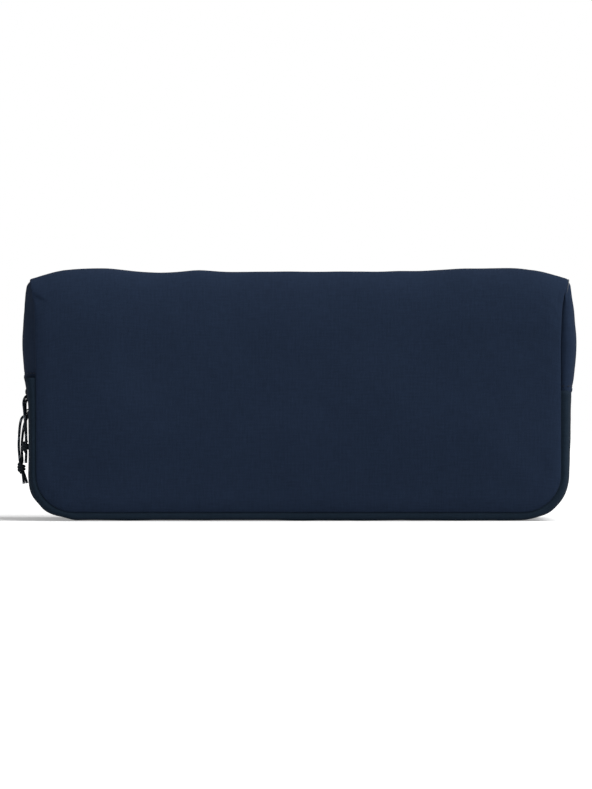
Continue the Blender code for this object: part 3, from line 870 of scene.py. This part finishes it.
# The gussets' cloth by distance run from its side seam: how far it is behind the seam, and its share of the
# full bulge. The right one leaves the seam in a groove and rolls over a lip, and the left one slants back.
GUSSET_RUN = (0.0, 0.5, 1.0, 1.8, 2.6, 3.4, 4.5, 6.0, 8.0, 11.0, 15.0, 20.0, 80.0)
GUSSET_BACK = {
    -1: (0.9, 1.0, 1.15, 1.7, 2.3, 2.9, 3.75, 4.95, 6.7, 9.3, 13.1, 18.0, 78.0),
    1: (1.0, 1.15, 1.0, 0.6, 0.25, 0.1, 0.35, 1.1, 2.6, 5.1, 8.8, 13.6, 73.6),
}
GUSSET_SHARE = {
    -1: (0.0, 0.02, 0.06, 0.12, 0.185, 0.25, 0.34, 0.455, 0.60, 0.78, 0.92, 1.0, 1.0),
    1: (0.0, 0.015, 0.06, 0.135, 0.23, 0.33, 0.47, 0.62, 0.76, 0.88, 0.96, 1.0, 1.0),
}
GUSSET_SLACK = {-1: 2.0, 1: 6.4}
GUSSET_TOP_SWELL = 3.5


def nominal_height(z, fold_z):
    """The nominal height of the shell's row that is at a height of z by its side seams."""
    nominal_fold = NOMINAL_TOP - TOP_RISE
    if z > fold_z:
        return nominal_fold + z - fold_z
    return SEAM_BOTTOM + (z - SEAM_BOTTOM) * (nominal_fold - SEAM_BOTTOM) / (fold_z - SEAM_BOTTOM)


def swollen(share):
    """A bulge that is steep at once: 0 at 0 and 1 from 1."""
    return 1.0 - (1.0 - np.clip(share, 0.0, 1.0)) ** 2.3


def build_gusset(side):
    """The bulging upper side panel, sewn to the shell's edge and hemmed at the zip's end."""
    depth, centre_z, reach, rise = fold_curve(side)
    low = ZIP_END[side] - 0.8
    steps = EDGE_STEPS[:20]
    top = centre_z + rise
    heights = [low + k for k in (0.0, 0.15, 0.35, 0.7, 1.2, 1.8, 2.4, 3.0, 3.5, 4.1)]
    heights += list(np.arange(low + 5.2, centre_z - 1.0, 1.5))
    heights += [centre_z + rise * math.sin(a) for a in np.linspace(0.0, math.pi / 2, 42)]
    rows = []
    for z in heights:
        climb = min(max((z - centre_z) / rise, 0.0), 1.0)
        half = depth + (reach - float(slope_sunk(z))) * math.sqrt(1.0 - climb**2)
        run = half + GUSSET_SLACK[side]
        between = np.linspace(-run + steps[-1], run - steps[-1], 26)[1:-1]
        place = np.concatenate([-run + steps, between, (run - steps)[::-1]])
        beside = run - np.abs(place)
        y = np.sign(place) * (half - np.interp(beside, GUSSET_RUN, GUSSET_BACK[side]))
        past = np.clip((np.abs(y) - depth) / reach, 0.0, 1.0)
        above = np.maximum(centre_z + rise * np.sqrt(1.0 - past**2) - z, 0.0)
        if z >= top - 1e-6:
            above[:] = 0.0
        share = np.interp(beside, GUSSET_RUN, GUSSET_SHARE[side]) * swollen(above / GUSSET_TOP_SWELL)
        seam = SEAM[side](nominal_height(z, centre_z))
        full = GUSSET_OUTLINE[side](z) - seam
        edge = np.minimum(beside, above)
        place = np.stack([np.full_like(y, side * 125.0), y, np.full_like(y, z)], 1)
        wrinkle = ease(edge / 7.0) * (0.34 * uneven(place, 17.0, 12.0) + 0.12 * uneven(place, 6.5, 2.0))
        hem = 0.35 * math.exp(-(((z - low - 1.6) / 1.1) ** 2))
        hem -= 0.25 * math.exp(-(((z - low - 3.4) / 0.5) ** 2))
        out = seam - 0.35 + (full + 0.35) * share + wrinkle + hem * share
        out -= 0.5 * max(0.0, 1.0 - (z - low) / 0.6) * share
        rows.append(np.stack([side * out, y, np.full_like(y, z)], 1))
    name = "gusset_left" if side < 0 else "gusset_right"
    grid = np.array(rows)
    piece(name, [grid_parts(grid, flip=side < 0)], "shell", "case", "shell_fabric", "upper_" + name,
          thick=0.9, inner="lining")
    hem_row = 8
    sew(name + "_stitches", grid[:, 3:-3], hem_row, "case", "shell_fabric", 2.9, 2.0, 0.36)


# ---------------------------------------------------------------- the zip's strips


def zip_stations(left_end, right_end):
    """Places along the zip, down the left, along the bottom and up the right.

    Each row holds the seam's (x, z), the zip's own (x, z), the outward (x, z) and the strip's bulge.
    """
    step = 2.2
    rows = []
    seam_centre = SEAM_BOTTOM + CORNER_RADIUS
    zip_centre = BOTTOM + CORNER_RADIUS
    for side, end in ((-1, left_end), (1, right_end)):
        bulge = smooth_table(STRIP_BULGE[side], 4.0)
        run = []
        count = int((end - seam_centre) / step)
        for share in np.linspace(1.0, 0.0, count, endpoint=False):
            seam_z = seam_centre + share * (end - seam_centre)
            zip_z = zip_centre + share * (end - zip_centre)
            stand = STRIP_BULGE[side][0][1]
            stand += share ** END_GROWTH[side] * (END_BULGE[side] - stand)
            run.append((side * SEAM[side](seam_z), seam_z, side * HALF_WIDTH, zip_z, side, 0.0, stand))
        wide = float(SEAM[side](seam_centre))
        for angle in np.linspace(0.0, math.pi / 2, 20):
            out_x, out_z = side * math.cos(angle), -math.sin(angle)
            run.append((
                side * (wide - CORNER_RADIUS) + CORNER_RADIUS * out_x,
                seam_centre + CORNER_RADIUS * out_z,
                side * (HALF_WIDTH - CORNER_RADIUS) + CORNER_RADIUS * out_x,
                zip_centre + CORNER_RADIUS * out_z,
                out_x, out_z, float(bulge(math.degrees(angle))),
            ))
        rows.append(run if side < 0 else run[::-1])
    start, end = rows[0][-1], rows[1][0]
    count = int((end[0] - start[0]) / step)
    middle = []
    for share in np.linspace(0.0, 1.0, count)[1:-1]:
        middle.append(tuple(a + share * (b - a) for a, b in zip(start, end)))
    return np.array(rows[0] + middle + rows[1])


# The strip's section for a full bulge: depth and distance from the seam on the sides, then along the bottom.
STRIP_FULL = 5.2
STRIP_SECTION = (
    (28.15, -0.6, 28.25, -0.6), (28.05, -0.1, 28.25, -0.1), (28.15, 0.4, 28.45, 0.35), (28.4, 0.9, 28.8, 0.8),
    (28.6, 1.5, 28.95, 1.5), (28.5, 2.3, 29.05, 2.5), (27.6, 3.2, 29.0, 3.5), (25.6, 4.05, 28.6, 4.3),
    (22.8, 4.7, 27.4, 4.85), (19.2, 5.1, 24.0, 5.1), (15.6, 5.2, 19.0, 5.2), (12.0, 5.15, 13.5, 5.15),
    (9.4, 4.95, 9.4, 4.95), (8.5, 4.75, 8.5, 4.75), (8.1, 4.55, 8.1, 4.55), (7.6, 4.65, 7.6, 4.65),
    (6.6, 4.45, 6.6, 4.45), (5.7, 3.95, 5.7, 3.95),
)
# Depth and distance from the zip's own path, where the strip turns under beside the teeth.
STRIP_HEM = ((5.25, 1.45), (5.15, 1.1), (5.4, 0.88), (6.6, 0.86), (9.5, 0.86))


def strip_grid(face, stations):
    """The strip on one face of the zip: face is -1 for the front and 1 for the rear."""
    rows = []
    for seam_x, seam_z, zip_x, zip_z, out_x, out_z, bulge in stations:
        ring = []
        for side_depth, side_out, low_depth, low_out in STRIP_SECTION:
            depth = side_depth + out_z**2 * (low_depth - side_depth)
            out = side_out + out_z**2 * (low_out - side_out)
            reach = out * bulge / STRIP_FULL if out > 0 else out
            ring.append((seam_x + out_x * reach, face * depth, seam_z + out_z * reach))
        for depth, out in STRIP_HEM:
            ring.append((zip_x + out_x * out, face * depth, zip_z + out_z * out))
        rows.append(ring)
    grid = np.array(rows)
    soft = ease((28.2 - np.abs(grid[..., 1])) / 6.0) * ease((np.abs(grid[..., 1]) - 5.8) / 3.0)
    soft[:, len(STRIP_SECTION):] = 0.0
    wave_out = 0.3 * uneven(grid, 15.0, 21.0) + 0.12 * uneven(grid, 5.5, 4.0)
    out = stations[:, 4:6]
    moved = wave_out * soft
    grid[..., 0] += moved * out[:, 0][:, None]
    grid[..., 2] += np.maximum(moved * out[:, 1][:, None], 0.02 - grid[..., 2])
    return grid


def path_strip(stations, section):
    """A grid from (y, distance outwards) points carried along the zip's own path."""
    return np.array([
        [(x + out_x * out, y, z + out_z * out) for y, out in section]
        for _, _, x, z, out_x, out_z, _ in stations
    ])


def round_section(y0, y1, out0, out1, radius, steps):
    """A rectangle with rounded corners, as (y, out) points."""
    ring = round_ring(abs(y1 - y0) / 2 - radius, abs(out1 - out0) / 2 - radius, radius, steps)
    return [((y0 + y1) / 2 + y, (out0 + out1) / 2 + out) for y, out in ring]


def tooth_parts(place, out, face):
    """One element of the coil: a flattened loop with a rounded head past the middle."""
    x, z = place
    # Depth, height and thickness, from the sewn end to the head.
    lateral = ((2.75, 0.92, 0.5), (2.5, 0.98, 0.9), (1.9, 1.0, 1.0), (1.1, 1.0, 1.0), (0.5, 0.96, 1.12),
               (0.1, 0.86, 1.18), (-0.22, 0.6, 0.8))
    middle_out = (TOOTH_HIGH + TAPE_HIGH) / 2 + 0.05
    half_out = (TOOTH_HIGH - TAPE_HIGH) / 2
    sides = 8
    rings = []
    for depth, tall, thick in lateral:
        ring = []
        for k in range(sides):
            angle = TAU * (k + 0.5) / sides
            up = middle_out + half_out * tall * math.sin(angle)
            along = TOOTH_THICK / 2 * thick * math.cos(angle)
            ring.append((x + out[0] * up - out[1] * along, face * depth, z + out[1] * up + out[0] * along))
        rings.append(ring)
    return grid_parts(np.array(rings), wrap_columns=True, caps=True, flip=face > 0)


def tooth_places(stations, first):
    """(place, outward direction) of each tooth, evenly spaced along the zip's own path."""
    path, outwards = stations[:, 2:4], stations[:, 4:6]
    run = run_along(path)
    spots = np.arange(first, run[-1] - 0.4, TOOTH_PITCH)
    return [(at_run(s, run, path), unit(at_run(s, run, outwards))) for s in spots]


def stitch_parts(point, along, up, length, wide):
    """One stitch: a short thread that dips at both ends."""
    across = np.cross(along, up)
    sides = 6
    rings = []
    for share, tall, thick in ((-1.0, -0.25, 0.25), (-0.8, 0.35, 0.8), (-0.3, 0.75, 1.0), (0.3, 0.75, 1.0),
                               (0.8, 0.35, 0.8), (1.0, -0.25, 0.25)):
        centre = point + along * share * length / 2 + up * wide * tall * 0.5
        ring = []
        for k in range(sides):
            angle = TAU * k / sides
            ring.append(centre + wide / 2 * thick * (math.cos(angle) * across + math.sin(angle) * up))
        rings.append(ring)
    return closed_parts(rings)


def sew(name, grid, row, body, slot, pitch=3.1, length=2.2, wide=0.42):
    """A piece made of stitches along one row of a grid, lying on its surface."""
    line, beside = grid[row], grid[row + 1]
    run = run_along(line)
    middle = grid.reshape(-1, 3).mean(axis=0)
    parts = []
    for s in np.arange(1.2, run[-1] - 1.0, pitch):
        point = at_run(s, run, line)
        along = unit(at_run(s + 0.5, run, line) - point)
        up = unit(np.cross(along, at_run(s, run, beside) - point))
        if np.dot(up, point - middle) < 0.0:
            up = -up
        parts.append(stitch_parts(point, along, up, length, wide))
    return piece(name, parts, "thread", body, slot)


def build_zip():
    """On each face of the zip, the strip with its stitches, the tape and the teeth."""
    stations = zip_stations(ZIP_END[-1] + 0.6, ZIP_END[1] + 0.6)
    chain = zip_stations(ZIP_END[-1] - 0.8, ZIP_END[1] - 0.8)
    for face, label, body in ((-1, "front", "fold"), (1, "rear", "case")):
        ends = ("", "_left", "_right") if face < 0 else ("",)
        nodes = {}
        for kind in ("strip", "tape", "coil"):
            nodes[kind] = ["zip_%s_%s%s" % (kind, label, end) for end in ends]
        grid = strip_grid(face, stations)
        piece("zip_strip_cloth_" + label, [grid_parts(grid, flip=face > 0)], "strip", body, "strip_fabric",
              *nodes["strip"], thick=0.7, inner="binding")
        sew("strip_stitches_" + label, np.swapaxes(grid, 0, 1), 14, body, "strip_fabric")
        tape = path_strip(stations, round_section(face * 1.0, face * 10.0, TAPE_LOW, TAPE_HIGH, 0.2, 3))
        piece("zip_tape_knit_" + label, [closed_parts(tape)], "tape", body, "zip_tape", *nodes["tape"])
        first = 0.3 if face < 0 else 0.3 + TOOTH_PITCH / 2
        teeth = [tooth_parts(*spot, face) for spot in tooth_places(chain, first)]
        piece("zip_teeth_" + label, teeth, "teeth", body, "zip_coil", *nodes["coil"])


# ---------------------------------------------------------------- the zip's ends and sliders


def left_point(out, y, z):
    """A point on the left side, by distance outwards from the zip's own path."""
    return (-HALF_WIDTH - out, y, z)


def plate_outline(narrow, wide, half_length, nose, corner):
    """(y, z) points of a slider's plate: its wide end is rounded into a nose."""
    steps = 5
    quarter = steps + 1
    wide_ring = round_ring(wide - corner, half_length - corner, corner, steps)
    narrow_ring = round_ring(narrow - corner, half_length - corner, corner, steps)
    tip = [(side * wide * 0.45, half_length + nose * (1.0 - 0.2 * abs(side))) for side in (1, 0, -1)]
    return wide_ring[:quarter] + tip + wide_ring[quarter:2 * quarter] + narrow_ring[2 * quarter:]


def plate_parts(outline, middle, turn, out0, out1, bevel=0.22):
    """A plate with rounded edges, given by its outline and its two distances outwards."""
    rings = []
    for share, level in ((0.0, out0), (0.35, out0), (0.8, out0 + bevel * 0.4), (1.0, out0 + bevel),
                         (1.0, out1 - bevel), (0.8, out1 - bevel * 0.4), (0.35, out1), (0.0, out1)):
        ring = []
        for y, z in outline:
            factor = 1.0 - bevel * (1.0 - share) / math.hypot(y, z)
            ring.append(left_point(level, y * factor, middle + turn * z * factor))
        rings.append(ring)
    return closed_parts(rings)


def bar_parts(line, half_wide, half_thick):
    """A flat bar with rounded edges that follows (z, out) points on the left side."""
    line = smooth_line([(out, 0.0, z) for z, out in line], 0.25)
    sides = 16
    rings = []
    for point, tangent in zip(line, directions(line)):
        normal = np.cross(tangent, (0.0, 1.0, 0.0))
        ring = []
        for k in range(sides):
            angle = TAU * (k + 0.5) / sides
            c, s = math.cos(angle), math.sin(angle)
            out, _, z = point + normal * half_thick * math.copysign(abs(s) ** 0.5, s)
            ring.append(left_point(out, half_wide * math.copysign(abs(c) ** 0.5, c), z))
        rings.append(ring)
    return closed_parts(rings)


def build_slider(which):
    """Two plates about the coils, joined by a post, with side flanges and a bridge for the cord.

    The two sliders' wide ends meet, as on a zip that opens both ways.
    """
    middle = SLIDER_MIDDLE[which]
    turn = -1.0 if which == "upper" else 1.0
    half = SLIDER_LENGTH / 2
    top = plate_outline(2.95, 3.6, half - 0.15, 0.12, 1.1)
    under = plate_outline(2.6, 3.2, half - 0.45, 0.1, 1.0)
    post = plate_outline(0.28, 0.32, 1.6, 0.05, 0.2)
    parts = [
        plate_parts(top, middle, turn, 2.2, 2.95),
        plate_parts(under, middle, turn, -0.8, -0.1),
        plate_parts(post, middle + turn * 2.6, turn, -0.3, 2.4, 0.05),
    ]
    flange = ((-half + 0.55, 2.72), (-half * 0.4, 2.95), (half * 0.2, 3.2), (half - 0.9, 3.3))
    for side in (-1.0, 1.0):
        line = [left_point(1.72, side * y, middle + turn * z) for z, y in flange]
        parts.append(tube_parts(smooth_line(line, 0.6), 0.3, 10, flat=2.0))
    arch = ((-1.3, 2.6), (-1.35, 3.7), (-1.15, 4.5), (-0.5, 4.95), (0.3, 5.0), (1.1, 4.85), (1.6, 4.35),
            (1.75, 3.6), (1.7, 2.6))
    parts.append(bar_parts([(middle + z, out) for z, out in arch], 0.68, 0.34))
    piece("slider_" + which + "_metal", parts, "metal", which + "_slider", "slider", "slider_" + which)


def build_zip_end(side):
    """The stop that ends the coil, and the fabric tab sewn across it."""
    label = "left" if side < 0 else "right"
    end = ZIP_END[side]
    low = end - 0.5
    x0, x1 = sorted((side * (HALF_WIDTH + 1.25), side * (HALF_WIDTH + 2.2)))
    block = rounded_block((x0, -2.45, low), (x1, 2.45, low + 1.9), 0.35)
    piece("stop_" + label, [block], "metal", "case", "slider", "zip_stop_" + label)
    bottom = end - (0.6 if side < 0 else 2.9)
    top = end + 2.5
    rim = 0.45
    heights = [bottom + k for k in (0.0, 0.12, 0.4, 0.9)]
    heights += list(np.linspace(bottom + 1.6, end + 1.9, 5)) + [end + 2.15, end + 2.4, top]
    y = np.concatenate([[-8.0, -7.9, -7.6, -7.1], np.linspace(-6.4, 6.4, 13), [7.1, 7.6, 7.9, 8.0]])
    close = np.minimum(8.0 - np.abs(y), rim) / rim
    rows = []
    for z in heights:
        edge = min(z - bottom, top - z)
        lift = 0.42 * math.sqrt(max(0.0, 1.0 - (1.0 - min(edge / rim, 1.0)) ** 2))
        base = float(GUSSET_OUTLINE[side](max(z, end - 0.8))) - 0.15
        out = base - 0.012 * y**2 + lift * np.sqrt(1.0 - (1.0 - close) ** 2) - 0.5 * (1.0 - close)
        rows.append(np.stack([side * out, y, np.full_like(y, z)], 1))
    grid = np.array(rows)
    piece("tab_" + label, [grid_parts(grid, flip=side < 0)], "binding", "case", "strip_fabric",
          "zip_end_tab_" + label, thick=0.4)
    sew("tab_stitches_" + label, grid, 3 if side > 0 else 4, "case", "strip_fabric", 2.3, 1.6, 0.36)


# ---------------------------------------------------------------- the lining and the pockets


def build_lining():
    """The case's lining and the flap's, which overlap in a seam above the fold."""
    join = 65.0
    lap = 2.0
    for name, body, stands_for, off, kept in (
        ("lining_flap", "fold", "lining_front", LINING_OFF,
         lambda part, value: part == "front" and value <= join + lap),
        ("lining_case", "case", "lining_shell", LINING_OFF + 0.1,
         lambda part, value: part != "front" or value > join),
    ):
        grid, uv = shell_grid(off, 0.7, kept, LINING_SOFT)
        if body == "case":
            grid[:2, :, 1] += LINING_THICK + 0.15
        piece(name, [grid_parts(grid, uv=uv)], "lining", body, "lining", stands_for, thick=LINING_THICK)


def inner_wall(x, z, part):
    """The y of the lining's inner face on the front or the back, at points (x, z)."""
    side = -1.0 if part == "front" else 1.0
    y = np.zeros_like(x)
    for i in range(len(x)):
        height = float(z[i, 0])
        points, _ = shell_frame(x[i], part, height)
        distance = seam_distance(x[i], part, height)
        moved = softness(points, distance, part, height) * LINING_SOFT
        y[i] = side * (HALF_DEPTH + moved - LINING_OFF - LINING_THICK)
    return y


def pocket_grid(part, box, off, bulge, radius=0.0, columns=60, rows=22, gather=0.0):
    """A pocket's cloth, off millimetres inside the wall and bulging towards its open top."""
    left, right, low, high = box
    heights = [low + k for k in (0.0, 0.3, 0.8, 1.6)]
    heights += list(np.linspace(low + 3.0, high - 1.5, rows)) + [high - k for k in (0.7, 0.2, 0.0)]
    ends = np.array([0.0, 0.4, 1.0, 2.0])
    grid_x, grid_z = [], []
    for z in heights:
        drop = min(max(0.0, low + radius - z), radius)
        cut = radius - math.sqrt(max(0.0, radius**2 - drop**2))
        between = np.linspace(left + cut + 4.0, right - cut - 4.0, columns)
        grid_x.append(np.concatenate([left + cut + ends, between, right - cut - ends[::-1]]))
        grid_z.append(np.full(columns + 8, z))
    x, z = np.array(grid_x), np.array(grid_z)
    edge = np.minimum(np.minimum(x - left, right - x), (z - low) * 1.6)
    climb = 0.35 + 0.65 * ease((z - low) / (high - low))
    lift = off + bulge * ease(edge / 26.0) * climb
    place = np.stack([x, np.zeros_like(x), z], 2)
    lift += 0.28 * ease(edge / 8.0) * uneven(place, 15.0, 40.0 + off)
    if gather:
        lift += gather * np.sin(x * TAU / 4.6 + 1.7 * uneven(place, 9.0, 30.0)) * ease(edge / 6.0)
    inwards = 1.0 if part == "front" else -1.0
    return np.stack([x, inner_wall(x, z, part) + inwards * lift, z], 2)


def net_piece(name, finish, slot, stands_for, low, high, off, thick, **options):
    """A gathered band across the flap's inside."""
    grid = pocket_grid("front", (-108.0, 108.0, low, high), off, 1.6, **options)
    return piece(name, [grid_parts(grid, flip=True)], finish, "fold", slot, stands_for, thick=thick)


def hem_rows(grid, lift):
    """The top rows of a back pocket's grid, standing a little proud of it."""
    rows = grid[-6:].copy()
    rows[:, :, 1] -= lift
    rows[0, :, 1] += lift * 0.9
    return rows


def hemmed_pocket(names, stands_for, box, off, bulge, flat, rests_on, pitch, length, **options):
    """A pocket on the back with a folded hem and stitches. The hem's name fills a gap in names."""
    grid = pocket_grid("back", box, off, bulge, **options)
    pocket = piece(names % "", [grid_parts(grid)], "lining", "case", "lining", stands_for, thick=0.45)
    hem = piece(names % "_hem", [grid_parts(hem_rows(grid, 0.32))], "lining", "case", "lining", thick=0.3)
    thread = sew(names % "_stitches", hem_rows(grid, 0.62), 1, "case", "lining", pitch, length, 0.4)


def build_pockets():
    """The slip pocket with card pockets and a pen loop on the back, and the mesh pocket on the flap."""
    hemmed_pocket("pocket_slip%s", "slip_pocket", (-111.7, 111.7, 9.3, 76.0), 0.9, 1.6, (0.2234, 0.0667),
                  "lining_case", 3.4, 2.4, radius=9.0)
    section = round_section(-1.35, 0.2, -1.6, 0.6, 0.5, 4)
    edge = []
    for x, z, out_x, out_z in slip_edge_path():
        wall = float(inner_wall(np.array([[x]]), np.array([[z]]), "back")[0, 0])
        edge.append([(x + out_x * out, wall + y, z + out_z * out) for y, out in section])
    piece("pocket_slip_binding", [closed_parts(edge)], "binding", "case", "binding", "slip_pocket_edge")
    for number, (low, high) in enumerate(((32.0, 70.0), (22.0, 57.0), (12.0, 44.0)), start=1):
        hemmed_pocket("pocket_card%%s_%d" % number, "card_pocket_%d" % number, (-104.0, -6.0, low, high),
                      1.9 + 0.75 * number, 1.5, (0.098, (high - low) * MM), "pocket_slip", 3.0, 2.1,
                      columns=40)
    build_pen_loop()
    net = net_piece("pocket_net", "mesh", "mesh", "mesh_pocket", 9.0, 46.2, 0.4, 0.35,
                    columns=90, gather=0.25)
    elastic = net_piece("pocket_net_elastic", "elastic", "binding", "mesh_pocket_elastic", 45.6, 52.0, 0.75,
                        0.9, columns=120, rows=4, gather=0.3)


def slip_edge_path():
    """(x, z, outward x, outward z) round the slip pocket's two sides and bottom."""
    half, low, radius, top = 112.0, 9.0, 9.0, 74.0
    path = []
    for side in (-1, 1):
        run = [(side * half, z, side, 0.0) for z in np.linspace(top, low + radius, 24, endpoint=False)]
        for angle in np.linspace(0.0, math.pi / 2, 10):
            out_x, out_z = side * math.cos(angle), -math.sin(angle)
            run.append((side * (half - radius) + radius * out_x, low + radius + radius * out_z, out_x, out_z))
        if side > 0:
            along = np.linspace(-(half - radius), half - radius, 60)[1:-1]
            path += [(x, low, 0.0, -1.0) for x in along]
            run.reverse()
        path += run
    return path


def build_pen_loop():
    """An elastic loop for a pen, sewn down along its back."""
    x, y, low, high = 96.0, 17.8, 40.0, 62.0
    # The band's section: a distance from the pen's middle and a height.
    outside = ((6.3, low + 0.3), (6.4, low + 0.8), (6.4, high - 0.8), (6.3, high - 0.3), (6.05, high))
    inside = ((5.35, high - 0.3), (5.3, high - 0.8), (5.3, low + 0.8), (5.35, low + 0.3), (5.6, low))
    sides = 56
    rings = []
    for k in range(sides):
        angle = TAU * k / sides
        ring = []
        for r, z in (*outside, (5.6, high), *inside, (6.05, low)):
            sag = 1.0 - 0.05 * math.sin(angle) ** 2 * math.sin(math.pi * (z - low) / (high - low))
            ring.append((x + r * sag * math.cos(angle), y + r * math.sin(angle), z))
        rings.append(ring)
    base = rounded_block((x - 4.6, y + 5.7, low + 0.2), (x + 4.6, y + 8.2, high - 0.2), 0.6)
    loop = closed_parts(rings, wrap_rows=True, caps=False)
    piece("pen_loop_elastic", [loop, base], "elastic", "case", "binding", "pen_loop")


def build_bindings():
    """The bound seams inside, beside the zip."""
    for label, body, face, ends, stands_for in (
        ("case", "case", 1, (ZIP_END[-1], ZIP_END[1]), "seam_binding_rear"),
        ("flap", "fold", -1, (61.0, 61.0), "seam_binding_front"),
    ):
        section = round_section(face * 25.3, face * 27.3, -2.7, -0.5, 0.6, 4)
        band = closed_parts(path_strip(zip_stations(*ends), section))
        piece("seam_binding_" + label, [band], "binding", body, "binding", stands_for)


build_camera()
build_studio()
for which in ("upper", "lower"):
    build_pull(which)
    build_slider(which)
build_shell()
for side in (-1, 1):
    build_gusset(side)
    build_zip_end(side)
build_zip()
build_lining()
build_pockets()
build_bindings()
